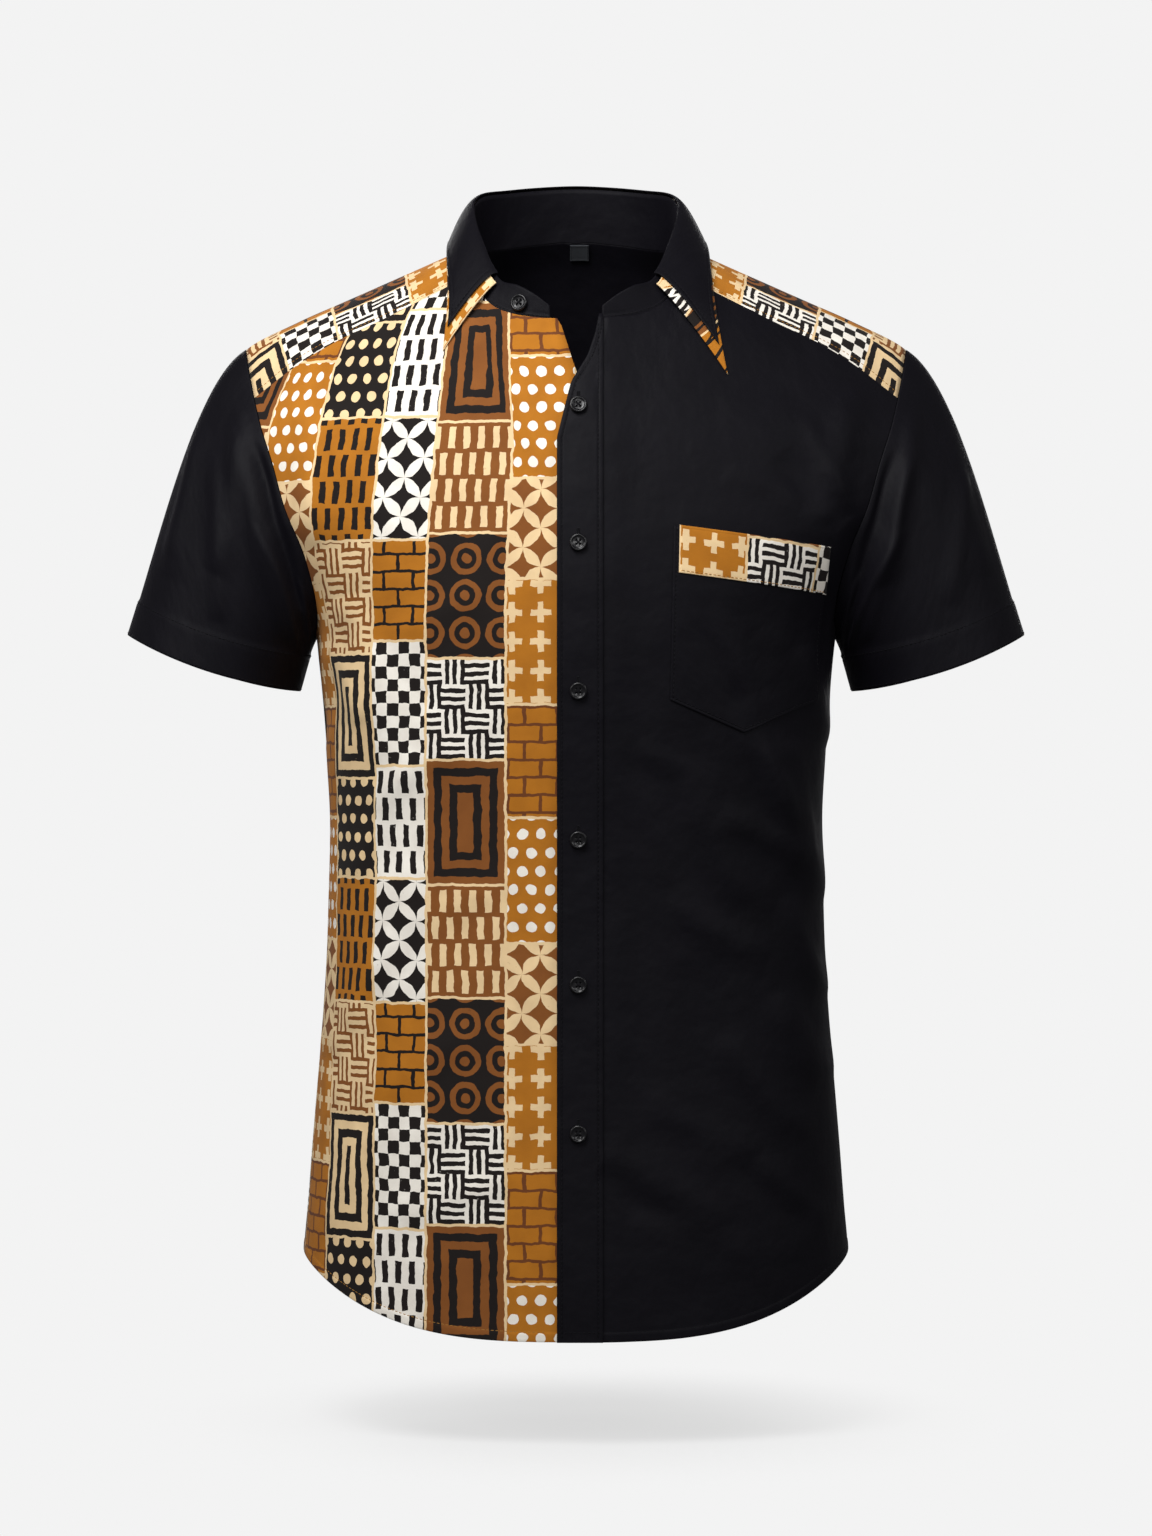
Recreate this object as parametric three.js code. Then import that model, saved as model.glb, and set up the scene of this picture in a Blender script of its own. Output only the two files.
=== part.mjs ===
import * as THREE from 'three';

// Short-sleeve shirt, filled out as it is when worn and hollow inside.
// Millimetres, +Z up, +X towards the wearer's left, the front faces -Y.
// The origin is the middle of the neck opening, level with the shoulders at the neck.

// Cloth
const WALL = 1.2; // thickness of one ply with its turnings
const SEAM_GAP = 0.35; // clearance where two pieces meet edge to edge
const LAYER = 1.65; // one ply laid on another, with its clearance

const table = (names, rows) => rows.map(
  (row) => Object.fromEntries(names.map((name, i) => [name, row[i]])),
);

// Level sections of the body, from the neck down: half width, depth in front of and behind the
// side seams, and how square the section is in front and behind (2 is an ellipse).
const BODY = table(['z', 'half', 'front', 'back', 'squareFront', 'squareBack'], [
  [24, 56, 46, 65, 1.55, 2.2],
  [8, 76, 56, 75, 1.55, 2.2],
  [-1.4, 96, 62, 80, 1.55, 2.15],
  [-15, 126.8, 71, 86, 1.5, 2.05],
  [-28.6, 157.6, 80, 91, 1.5, 1.95],
  [-42, 188, 87, 96, 1.5, 1.88],
  [-61, 224, 95, 103, 1.5, 1.8],
  [-92, 244, 105, 111, 1.6, 1.85],
  [-118, 254, 113, 116, 1.75, 1.95],
  [-142, 248, 118, 119, 1.9, 2.05],
  [-173, 232, 123, 120, 2.1, 2.15],
  [-198, 207, 126, 119, 2.3, 2.3],
  [-226, 187, 128, 116, 2.4, 2.4],
  [-244, 179, 128, 114, 2.4, 2.4],
  [-257, 176, 128, 112, 2.4, 2.4],
  [-301, 171.7, 126, 105, 2.4, 2.4],
  [-341, 169, 123, 97.5, 2.4, 2.4],
  [-382, 166.9, 120, 92, 2.4, 2.4],
  [-437, 168, 118, 88.5, 2.4, 2.4],
  [-477, 169.3, 118.5, 91, 2.4, 2.4],
  [-518, 172, 119.5, 98, 2.4, 2.4],
  [-559, 175.4, 121, 106, 2.4, 2.4],
  [-600, 178.8, 122.5, 113, 2.4, 2.4],
  [-641, 181.9, 124, 118, 2.4, 2.4],
  [-668, 184.3, 125, 120, 2.4, 2.4],
  [-740, 188, 126, 122, 2.4, 2.4],
]);

// Armhole seam: how far out it lies at each height, from the shoulder tip to the underarm.
const ARMHOLE = table(['z', 'x'], [
  [-61, 224], [-92, 217], [-118, 210], [-142, 202], [-173, 193],
  [-198, 182.5], [-226, 175], [-244, 173], [-250, 173.8], [-257, 176],
]);
const SHOULDER_TIP_Z = -61;
const UNDERARM_Z = -257;
const SHOULDER_LOW_Z = -150; // below everything that the strips, the neck and the collar rest on

// Hem: lowest at the middle of the front and of the back, rising to the side seams.
const HEM_FRONT_Z = -719.6;
const HEM_BACK_Z = -734;
const HEM_SIDE_Z = -671;
const HEM_POWER = 3.2; // keeps the hem level in the middle and turns it up towards the sides
const HEM_LEVEL_Z = -700;

// Rows and columns that the panels and strips are made of
const COLUMN_SPREAD = 0.833;
const LOWER_PART = 0.5; // part of the rows that lies below the underarm
const PANEL_ROWS = 28;
const FRONT_COLUMNS = { flat: 3, steep: 4, outer: 13 }; // along the neck seam, its steep end, the rest
const BACK_COLUMNS = { nape: 4, napeWay: 0.12, outer: 11 };
const STRIP_ROWS = 10;
const STRIP_COLUMNS = 14;
const STRIP_CROWDING = 1.5; // brings the strips' rows closer together at the shoulder tip
const SLEEVE_ROWS = 11;
const NORMAL_STEP = 0.002; // how far apart, as a part of the way, points are taken for a normal
const HALVINGS = 40; // rounds in which a height on the surface is closed in on

// Shoulder strips: where their seams leave the neck and reach the armhole.
const STRIP = {
  front: { neckY: -50, armholeZ: -97, sag: 8 },
  back: { neckY: 40, armholeZ: -88, sag: 6 },
};

// Front edges at the open neck: the right front's, the left front's, and the placket's two.
const RIGHT_EDGE = table(['z', 'x'], [[-42, -16.4], [-54, -9.5], [-78, -2], [-130, 16], [-740, 16]]);
const LEFT_EDGE = table(['z', 'x'], [
  [-46, 15], [-60, 12.4], [-75, 7.5], [-92.5, -3], [-130, -12.4], [-740, -12.4],
]);
const NECK_END_X = 16;
const NECK_BEND_X = 52;
const PLACKET_OUTER_X = 17.6;
const PLACKET_TOP_Z = -47;
const PLACKET_OVERHANG = 0.6;
const OVERLAP_FROM_X = 20;
const OVERLAP_TO_X = 42;

// Collar, from the middle of the back round to the front: the foot of the stand on the neck
// seam, the fold at its top, and the edge of the turned-down leaf (which ends before the stand).
const COLLAR = table(['footX', 'footY', 'foldX', 'foldY', 'foldZ', 'edgeX', 'edgeY'], [
  [0, 68, 0, 61, 56, 0, 77],
  [26, 64, 25, 57.5, 54.5, 31, 73],
  [50, 52, 47, 46, 51, 59, 60],
  [66, 34, 63, 27, 46.5, 79, 40],
  [73, 12, 69, 8, 39, 86, 16],
  [74, -8, 69, -12, 29, 87, -8],
  [72, -30, 66, -32, 15, 87, -33],
  [69, -50, 62, -46, 3, 86, -55],
  [64, -66, 56, -60, -12, 86, -72],
  [54.6, -76, 49, -71, -22, 88, -84],
  [41, -82.6, 38, -80.5, -26, 88, -84],
  [27, -86.5, 27, -85.5, -32.5, 88, -84],
  [17, -88.5, 17.5, -88, -40, 88, -84],
]);
const LEAF_LAST = 9; // row of the table where the leaf ends in its point
const LEAF_HIGHEST_Z = 12; // height of the leaf's edge behind the neck
const LEAF_REST = 3.4; // height of the under layer over the cloth it lies on
const LEAF_ROLL = 6; // how far the leaf rolls out at the fold
const LEAF_RISE = 2;
const LEAF_BULGE = 4;
const LEAF_FULL_AT = 0.35; // part of the way up from the edge where the leaf bulges
const LEAF_SPREAD = 12.5; // the left point stands this much farther out
const LEAF_SPREAD_FORWARD = 3;
const LEAF_BORDER = 0.45; // part of a row by which the under layer shows at the front edge
const LEAF_HEM_BORDER = 0.1; // part of the leaf's depth by which it shows along the edge
const LEAF_LIFT = 1.8; // the top layer over the under layer
const UNDER_FROM = 0.16; // where the under layer starts below the fold
const FOOT_CLEAR = 0.6;
const FOLD_CLEAR = 0.5;

// Sleeves: the cuff's middle, its half widths, its lean and how far its front and back dip.
const CUFF = { x: 246, z: -274, halfWide: 61, halfDeep: 62, leanX: 0.951, leanZ: 0.311, dip: 7 };
const SLEEVE_HEM = 24;
const SLEEVE_HEM_PROUD = 0.8;
const SLEEVE_CLEAR = 0.5;
const SLEEVE_LEAVES_TOP = new THREE.Vector3(0.85, 0, -0.5);
const SLEEVE_LEAVES_UNDER = new THREE.Vector3(0.6, 0, -0.8);
const SLEEVE_START_PULL = 0.58;
const SLEEVE_END_PULL = 0.95;

// Pocket on the left chest and the band along its mouth.
const POCKET = {
  leftX: 64, rightX: 167, footLeftX: 61.5, footRightX: 158,
  topLeftZ: -187, topRightZ: -199, footZ: -301, point: 21,
};
const POCKET_LIFT = 1.9;
const BAND_DEPTH = 31;
const BAND_INSET = 3.5;
const POCKET_FADE = 12;
const POCKET_CALM = 0.25; // folds keep this part of their depth under the pocket

// Buttons
const BUTTON = { radius: 5.75, thick: 2.6, rim: 1.3, dish: 0.7, round: 0.5, x: 1.5, segments: 10 };
const BUTTON_Z = [-109, -199, -295, -392, -487, -584];
const BUTTON_SEAT = 0.3;
const COLLAR_BUTTON = { row: -10.2, rise: 0.4 };

// Neck label, inside the back of the neck
const LABEL = { x: 2.4, z: 14, wide: 13, high: 12, thick: 0.8, clear: 0.9 };

// Largest folds on the fronts, the back and the sleeves. Each runs from one point to another,
// bowed sideways in the middle; its depth is positive for a ridge and negative for a trough.
const FOLD_COLUMNS = ['x1', 'z1', 'x2', 'z2', 'bow', 'width', 'depth'];
const FRONT_FOLDS = table(FOLD_COLUMNS, [
  [187, -86, 165, -212, 5, 11, 3.5],
  [134, -138, 176, -186, 0, 11, -2.5],
  [66, -236, 108, -290, 0, 12, 1.5],
  [131, -320, 164, -436, 4, 12, 4],
  [75, -348, 112, -438, 4, 13, 3],
  [132, -494, 168, -556, 3, 12, 3],
  [18, -592, 106, -644, 4, 13, 2],
  [-152, -232, -126, -348, -5, 14, 3.5],
  [-108, -402, -150, -520, 5, 15, 2.5],
  [-178, -96, -168, -200, 4, 12, 3],
]);
const BACK_FOLDS = table(FOLD_COLUMNS, [
  [-150, -240, -118, -372, 6, 14, 3],
  [158, -226, 122, -340, -6, 14, 3.5],
  [-96, -404, -136, -520, 4, 15, 3],
  [84, -420, 140, -530, -5, 15, 2.5],
  [-18, -470, 34, -610, 6, 16, 2],
]);
const SLEEVE_FOLDS = table(['round1', 'along1', 'round2', 'along2', 'bow', 'width', 'depth'], [
  [38, 20, 150, 120, 12, 13, 3.5],
  [20, 60, 44, 150, 6, 14, 2.5],
  [-60, 25, -130, 110, -10, 14, 3],
]);
const SLEEVE_ROUND = 400; // nominal way round the sleeve, for placing its folds
const SLEEVE_LONG = 200; // nominal way down the sleeve

const PRINT = { color: 0x8a6238, roughness: 0.85, metalness: 0 };
const BLACK = { color: 0x15151a, roughness: 0.85, metalness: 0 };
const GLOSS = { color: 0x0c0c0e, roughness: 0.3, metalness: 0 };
const LABEL_CLOTH = { color: 0x3a4048, roughness: 0.8, metalness: 0 };

// Curves and steps

function evenSteps(from, to, count) {
  return Array.from({ length: count + 1 }, (_, i) => mix(from, to, i / count));
}

function clamp01(value) {
  return Math.min(1, Math.max(0, value));
}

function smoothStep(from, to, value) {
  const t = clamp01((value - from) / (to - from));
  return t * t * (3 - 2 * t);
}

function mix(a, b, t) {
  return a + (b - a) * t;
}

// A smooth curve through one column of a table, against its height column.
function column(rows, name) {
  const order = [...rows].sort((p, q) => p.z - q.z);
  const slope = order.map((row, i) => {
    const before = order[Math.max(0, i - 1)];
    const after = order[Math.min(order.length - 1, i + 1)];
    return (after[name] - before[name]) / (after.z - before.z);
  });
  return (z) => {
    if (z <= order[0].z) return order[0][name];
    if (z >= order.at(-1).z) return order.at(-1)[name];
    const i = order.findIndex((row) => row.z > z) - 1;
    const span = order[i + 1].z - order[i].z;
    const t = (z - order[i].z) / span;
    return hermite(order[i][name], slope[i] * span, order[i + 1][name], slope[i + 1] * span, t);
  };
}

function hermite(p0, m0, p1, m1, t) {
  const t2 = t * t;
  const t3 = t2 * t;
  return (2 * t3 - 3 * t2 + 1) * p0 + (t3 - 2 * t2 + t) * m0 + (3 * t2 - 2 * t3) * p1 + (t3 - t2) * m1;
}

// A straight-line reading of a table column, for edges that must not overshoot.
function straightColumn(rows, name) {
  return (z) => {
    const i = Math.max(1, rows.findIndex((row) => row.z <= z));
    const [upper, lower] = [rows[i - 1], rows[i]];
    return mix(upper[name], lower[name], clamp01((upper.z - z) / (upper.z - lower.z)));
  };
}

const halfAt = column(BODY, 'half');
const DEPTH = { front: column(BODY, 'front'), back: column(BODY, 'back') };
const SQUARE = { front: column(BODY, 'squareFront'), back: column(BODY, 'squareBack') };
const TOWARDS = { front: -1, back: 1 };
const armholeX = column(ARMHOLE, 'x');
const rightEdgeX = straightColumn(RIGHT_EDGE, 'x');
const leftEdgeX = straightColumn(LEFT_EDGE, 'x');

// Body surface. A turn is 0 at the middle of the front or back and 1 at the side seam.

function bodyPoint(side, turn, z) {
  const power = 2 / SQUARE[side](z);
  const angle = Math.abs(turn) * Math.PI / 2;
  const x = Math.sign(turn) * halfAt(z) * Math.sin(angle) ** power;
  const y = TOWARDS[side] * DEPTH[side](z) * Math.max(0, Math.cos(angle)) ** power;
  return new THREE.Vector3(x, y, z);
}

function turnAtX(side, z, x) {
  const part = Math.min(1, Math.abs(x) / halfAt(z));
  return Math.sign(x) * Math.asin(part ** (SQUARE[side](z) / 2)) * 2 / Math.PI;
}

function turnAtY(side, z, y) {
  const part = Math.min(1, Math.abs(y) / DEPTH[side](z));
  return Math.acos(part ** (SQUARE[side](z) / 2)) * 2 / Math.PI;
}

// Height of the shoulder surface over a point of the plan, found by halving.
function shoulderZ(x, y) {
  const side = y < 0 ? 'front' : 'back';
  let [low, high] = [SHOULDER_LOW_Z, BODY[0].z];
  for (let i = 0; i < HALVINGS; i += 1) {
    const z = (low + high) / 2;
    const n = SQUARE[side](z);
    const reach = (Math.abs(x) / halfAt(z)) ** n + (Math.abs(y) / DEPTH[side](z)) ** n;
    if (reach > 1) high = z;
    else low = z;
  }
  return (low + high) / 2;
}

// Folds: distance from each fold's bowed line, in the plane that the table is written in.
function foldHeight(folds, x, z) {
  let height = 0;
  for (const fold of folds) {
    const [ax, az] = [fold.x2 - fold.x1, fold.z2 - fold.z1];
    const long = Math.hypot(ax, az);
    const t = ((x - fold.x1) * ax + (z - fold.z1) * az) / (long * long);
    if (t > 0 && t < 1) {
      const off = ((x - fold.x1) * az - (z - fold.z1) * ax) / long - fold.bow * 4 * t * (1 - t);
      height += fold.depth * Math.exp(-((off / fold.width) ** 2)) * (1 - (2 * t - 1) ** 4);
    }
  }
  return height;
}

function underPocket(x, z) {
  const { leftX, rightX, topLeftZ, footZ, point } = POCKET;
  const foot = footZ - point;
  const inFromLeft = smoothStep(leftX - POCKET_FADE, leftX, x);
  const inFromRight = 1 - smoothStep(rightX, rightX + POCKET_FADE, x);
  const overFoot = smoothStep(foot - POCKET_FADE, foot, z);
  const underTop = 1 - smoothStep(topLeftZ, topLeftZ + POCKET_FADE, z);
  return inFromLeft * inFromRight * overFoot * underTop;
}

function bodyFold(side, x, z) {
  if (side === 'back') return foldHeight(BACK_FOLDS, x, z);
  return foldHeight(FRONT_FOLDS, x, z) * (1 - (1 - POCKET_CALM) * underPocket(x, z));
}

// A point of the body cloth with its folds, lifted off the surface by a number of plies.
function clothPoint(side, turn, z, lift = 0) {
  const point = bodyPoint(side, turn, z);
  const most = 1 - NORMAL_STEP;
  const inner = Math.max(-most, Math.min(most, turn));
  const across = bodyPoint(side, inner + NORMAL_STEP, z).sub(bodyPoint(side, inner - NORMAL_STEP, z));
  const up = bodyPoint(side, inner, z + 1).sub(bodyPoint(side, inner, z - 1));
  const normal = across.cross(up).normalize().multiplyScalar(-TOWARDS[side]);
  return point.addScaledVector(normal, lift + bodyFold(side, point.x, z));
}

// The neck seam and the strip seams, on the body surface, for the wearer's left half.

const footPlan = new THREE.CatmullRomCurve3(
  COLLAR.map((row) => new THREE.Vector3(row.footX, row.footY, 0)),
);

function neckPoint(t) {
  const point = footPlan.getPoint(clamp01(t));
  point.z = shoulderZ(point.x, point.y);
  return point;
}

const SAMPLES = 160;
const neckLine = Array.from({ length: SAMPLES + 1 }, (_, i) => neckPoint(i / SAMPLES));

function neckAtY(y) {
  const i = neckLine.findIndex((point) => point.y < y);
  const [before, after] = [neckLine[i - 1], neckLine[i]];
  return before.clone().lerp(after, (before.y - y) / (before.y - after.y));
}

function armholePoint(side, z) {
  return bodyPoint(side, turnAtX(side, z, armholeX(z)), z);
}

function stripSeam(side) {
  const start = neckAtY(STRIP[side].neckY);
  const end = armholePoint(side, STRIP[side].armholeZ);
  return (t) => {
    const point = start.clone().lerp(end, t);
    point.y += TOWARDS[side] * STRIP[side].sag * Math.sin(Math.PI * t);
    point.z = shoulderZ(point.x, point.y);
    return point;
  };
}

const SEAM = { front: stripSeam('front'), back: stripSeam('back') };

// Height of a front's or the back's upper edge against x: the neck seam, then the strip seam.
function upperEdge(side) {
  const onNeck = side === 'front'
    ? neckLine.filter((point) => point.y < STRIP.front.neckY).reverse()
    : neckLine.filter((point) => point.y > STRIP.back.neckY);
  const onSeam = Array.from({ length: SAMPLES + 1 }, (_, i) => SEAM[side](i / SAMPLES));
  const line = [...onNeck, ...onSeam];
  return (x) => {
    if (x <= line[0].x) return line[0].z;
    if (x >= line.at(-1).x) return line.at(-1).z;
    const i = line.findIndex((point) => point.x > x);
    const [before, after] = [line[i - 1], line[i]];
    return mix(before.z, after.z, (x - before.x) / (after.x - before.x));
  };
}

const UPPER = { front: upperEdge('front'), back: upperEdge('back') };

// Turn of a panel's column. Columns are spaced by x between the inner edge and the side seam or
// armhole, closer together towards the side; way is 0 at the inner edge and 1 at the outer one.
function columnTurn(side, z, innerX, way) {
  const outerX = z <= UNDERARM_Z ? halfAt(z) : armholeX(z);
  const x = mix(innerX, outerX, Math.sin(way * Math.PI / 2) ** COLUMN_SPREAD);
  const turn = turnAtX(side, z, x);
  return z <= UNDERARM_Z ? Math.min(turn, turnAtY(side, z, SEAM_GAP / 2)) : turn;
}

function hemZ(side, turn) {
  const lowest = side === 'front' ? HEM_FRONT_Z : HEM_BACK_Z;
  const out = clamp01(Math.abs(bodyPoint(side, turn, HEM_LEVEL_Z).x) / halfAt(HEM_LEVEL_Z));
  return mix(lowest, HEM_SIDE_Z, out ** HEM_POWER);
}

// Heights along one column of a panel: hem to underarm, then underarm to the upper edge.
function panelZ(side, v, turnAt) {
  const hem = hemZ(side, turnAt(HEM_LEVEL_Z));
  if (v <= LOWER_PART) return mix(hem, UNDERARM_Z, v / LOWER_PART);
  let top = SHOULDER_TIP_Z;
  for (let i = 0; i < HALVINGS; i += 1) {
    const x = Math.abs(bodyPoint(side, turnAt(top), top).x);
    top = (top + UPPER[side](x) - SEAM_GAP) / 2;
  }
  const part = (v - LOWER_PART) / (1 - LOWER_PART);
  const eased = (1 - Math.cos(Math.PI * part)) / 2;
  return mix(UNDERARM_Z, top, (part + eased) / 2);
}

// Walls. A surface gives the outer face; facing is 1 where u crossed with v points out of it.

function wall(surface, across, rows, { facing = 1, ring = false } = {}) {
  const ways = Array.isArray(across) ? across : evenSteps(0, 1, across);
  const columns = ways.length - 1;
  const step = NORMAL_STEP;
  const acrossStep = (u, v) => (ring
    ? surface((u + step) % 1, v).sub(surface((u + 1 - step) % 1, v))
    : surface(Math.min(1, u + step), v).sub(surface(Math.max(0, u - step), v)));
  const alongStep = (u, v) => surface(u, Math.min(1, v + step)).sub(surface(u, Math.max(0, v - step)));
  const wide = ring ? columns : columns + 1;
  const outer = [];
  const inner = [];
  for (let j = 0; j <= rows; j += 1) {
    for (let i = 0; i < wide; i += 1) {
      const [u, v] = [ways[i], j / rows];
      const point = surface(u, v);
      const normal = acrossStep(u, v).cross(alongStep(u, v)).normalize().multiplyScalar(facing);
      outer.push(point);
      inner.push(point.clone().addScaledVector(normal, -WALL));
    }
  }
  const count = outer.length;
  const at = (i, j) => (i % wide) + j * wide;
  const faces = [];
  const quad = (a, b, c, d) => {
    if (facing > 0) faces.push(a, b, c, a, c, d);
    else faces.push(a, c, b, a, d, c);
  };
  for (let j = 0; j < rows; j += 1) {
    for (let i = 0; i < columns; i += 1) {
      const [a, b, c, d] = [at(i, j), at(i + 1, j), at(i + 1, j + 1), at(i, j + 1)];
      quad(a, b, c, d);
      quad(count + a, count + d, count + c, count + b);
    }
  }
  for (let i = 0; i < columns; i += 1) {
    const [a, b] = [at(i, 0), at(i + 1, 0)];
    quad(a, count + a, count + b, b);
    const [c, d] = [at(i, rows), at(i + 1, rows)];
    quad(c, d, count + d, count + c);
  }
  for (let j = 0; j < rows && !ring; j += 1) {
    const [a, b] = [at(0, j), at(0, j + 1)];
    quad(a, b, count + b, count + a);
    const [c, d] = [at(columns, j), at(columns, j + 1)];
    quad(c, count + c, count + d, d);
  }
  const geometry = new THREE.BufferGeometry();
  const numbers = [...outer, ...inner].flatMap((point) => point.toArray());
  geometry.setAttribute('position', new THREE.Float32BufferAttribute(numbers, 3));
  geometry.setIndex(faces);
  geometry.computeVertexNormals();
  return geometry;
}

const shirt = new THREE.Group();

function add(name, geometry, finish) {
  const mesh = new THREE.Mesh(geometry, new THREE.MeshStandardMaterial(finish));
  mesh.name = name;
  shirt.add(mesh);
  return mesh;
}

// Turns a piece made for the wearer's left into the one for the right.
function mirrored(surface) {
  return (u, v) => {
    const point = surface(u, v);
    point.x *= -1;
    return point;
  };
}

// Fronts

function frontPanel(hand, edgeX, lift) {
  return (u, v) => {
    const turnAt = (z) => columnTurn('front', z, hand * edgeX(z), u);
    const z = panelZ('front', v, turnAt);
    const turn = hand * turnAt(z);
    return clothPoint('front', turn, z, lift(bodyPoint('front', turn, z).x));
  };
}

// Columns of a front: closer together where the neck seam turns steeply up to the strip.
function frontColumns() {
  const wayTo = (x) => {
    const part = (x - NECK_END_X) / (armholeX(SHOULDER_TIP_Z) - NECK_END_X);
    return Math.asin(part ** (1 / COLUMN_SPREAD)) * 2 / Math.PI;
  };
  const corner = wayTo(SEAM.front(0).x);
  const bend = wayTo(NECK_BEND_X);
  const { flat, steep, outer } = FRONT_COLUMNS;
  return [
    ...evenSteps(0, bend, flat),
    ...evenSteps(bend, corner, steep).slice(1),
    ...evenSteps(corner, 1, outer).slice(1),
  ];
}

function buildFronts() {
  const columns = frontColumns();
  const flat = () => 0;
  const overlap = (x) => LAYER * (1 - smoothStep(OVERLAP_FROM_X, OVERLAP_TO_X, x));
  const leftEdge = (z) => leftEdgeX(z) + PLACKET_OVERHANG;
  add('front_right', wall(frontPanel(-1, rightEdgeX, flat), columns, PANEL_ROWS, { facing: -1 }), PRINT);
  add('front_left', wall(frontPanel(1, leftEdge, overlap), columns, PANEL_ROWS), BLACK);
}

function frontAtX(x, z, lift) {
  return clothPoint('front', turnAtX('front', z, x), z, lift);
}

function buildPlacket() {
  const placket = (u, v) => {
    const z = mix(hemZ('front', 0), PLACKET_TOP_Z, v);
    return frontAtX(mix(leftEdgeX(z), PLACKET_OUTER_X, u), z, 2 * LAYER);
  };
  add('placket', wall(placket, 3, 30), BLACK);
}

// Back and shoulder strips

// Columns of the back: closer together at the middle, where the neck seam curves most.
function backColumns() {
  const { nape, napeWay, outer } = BACK_COLUMNS;
  const half = [...evenSteps(0, napeWay, nape), ...evenSteps(napeWay, 1, outer).slice(1)];
  const ways = [...half.slice(1).reverse().map((way) => -way), ...half];
  return ways.map((way) => (way + 1) / 2);
}

function buildBack() {
  const back = (u, v) => {
    const way = 2 * u - 1;
    const turnAt = (z) => Math.sign(way) * columnTurn('back', z, 0, Math.abs(way));
    const z = panelZ('back', v, turnAt);
    return clothPoint('back', turnAt(z), z);
  };
  add('back', wall(back, backColumns(), PANEL_ROWS, { facing: -1 }), BLACK);
}

// Height of the armhole at part of the way from the shoulder tip down to a strip's seam.
function stripZ(side, part) {
  return mix(SHOULDER_TIP_Z, STRIP[side].armholeZ, part ** STRIP_CROWDING);
}

function armholeUpper(v) {
  const side = v < 0.5 ? 'front' : 'back';
  return armholePoint(side, stripZ(side, Math.abs(2 * v - 1)));
}

function neckUpper(v) {
  const from = neckLine.findIndex((point) => point.y < STRIP.front.neckY);
  const to = neckLine.findIndex((point) => point.y < STRIP.back.neckY);
  return neckPoint(mix(from, to, v) / SAMPLES);
}

function shoulderStrip(u, v) {
  const sides = neckUpper(v).multiplyScalar(1 - u).addScaledVector(armholeUpper(v), u);
  const ends = SEAM.front(u).multiplyScalar(1 - v).addScaledVector(SEAM.back(u), v);
  const front = neckUpper(0).multiplyScalar(1 - u).addScaledVector(armholeUpper(0), u);
  const back = neckUpper(1).multiplyScalar(1 - u).addScaledVector(armholeUpper(1), u);
  const corners = front.multiplyScalar(1 - v).addScaledVector(back, v);
  const point = sides.add(ends).sub(corners);
  point.z = shoulderZ(point.x, point.y);
  return point;
}

function buildShoulders() {
  add('shoulder_left', wall(shoulderStrip, STRIP_COLUMNS, STRIP_ROWS), PRINT);
  const right = mirrored(shoulderStrip);
  add('shoulder_right', wall(right, STRIP_COLUMNS, STRIP_ROWS, { facing: -1 }), PRINT);
}

// Sleeves. The way round runs from the shoulder tip down the front to the underarm and back up.

function armholeHalf(side) {
  const line = [];
  for (let i = 0; i <= SAMPLES; i += 1) {
    const part = (1 - Math.cos(Math.PI * i / SAMPLES)) / 2;
    line.push(armholePoint(side, mix(SHOULDER_TIP_Z, UNDERARM_Z, part)));
  }
  return line;
}

// Even travel along a line that runs downwards: the point at a part of it, and the part at a height.
function travel(line) {
  const run = [0];
  for (let i = 1; i < line.length; i += 1) run.push(run[i - 1] + line[i].distanceTo(line[i - 1]));
  const long = run.at(-1);
  const pointAt = (part) => {
    const i = Math.max(1, run.findIndex((value) => value >= Math.min(part * long, long)));
    return line[i - 1].clone().lerp(line[i], (part * long - run[i - 1]) / (run[i] - run[i - 1]));
  };
  const partAt = (z) => {
    const i = Math.max(1, line.findIndex((point) => point.z <= z));
    return mix(run[i - 1], run[i], (line[i - 1].z - z) / (line[i - 1].z - line[i].z)) / long;
  };
  return { pointAt, partAt };
}

const ARMHOLE_WAY = { front: travel(armholeHalf('front')), back: travel(armholeHalf('back')) };

function armholeRound(round) {
  return round <= 0.5 ? ARMHOLE_WAY.front.pointAt(2 * round) : ARMHOLE_WAY.back.pointAt(2 - 2 * round);
}

// The strips' and panels' own points on the armhole, so that the sleeve meets them point to point.
function armholeStops(side) {
  const beside = evenSteps(0, 1, STRIP_ROWS / 2).map((part) => stripZ(side, part));
  const turnAt = (z) => columnTurn(side, z, 0, 1);
  const rows = evenSteps(1, LOWER_PART, PANEL_ROWS * (1 - LOWER_PART)).slice(1);
  const below = rows.map((v) => panelZ(side, v, turnAt));
  return [...beside, ...below].map((z) => ARMHOLE_WAY[side].partAt(z) / 2);
}

function sleeveColumns() {
  const upTheBack = armholeStops('back').reverse().slice(1);
  return [...armholeStops('front'), ...upTheBack.map((part) => 1 - part)];
}

function cuffRound(round) {
  const angle = 2 * Math.PI * round;
  const out = CUFF.halfWide * Math.cos(angle);
  const drop = CUFF.dip * Math.sin(angle) ** 2;
  return new THREE.Vector3(
    CUFF.x + CUFF.leanX * out,
    -CUFF.halfDeep * Math.sin(angle),
    CUFF.z + CUFF.leanZ * out - drop,
  );
}

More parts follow.
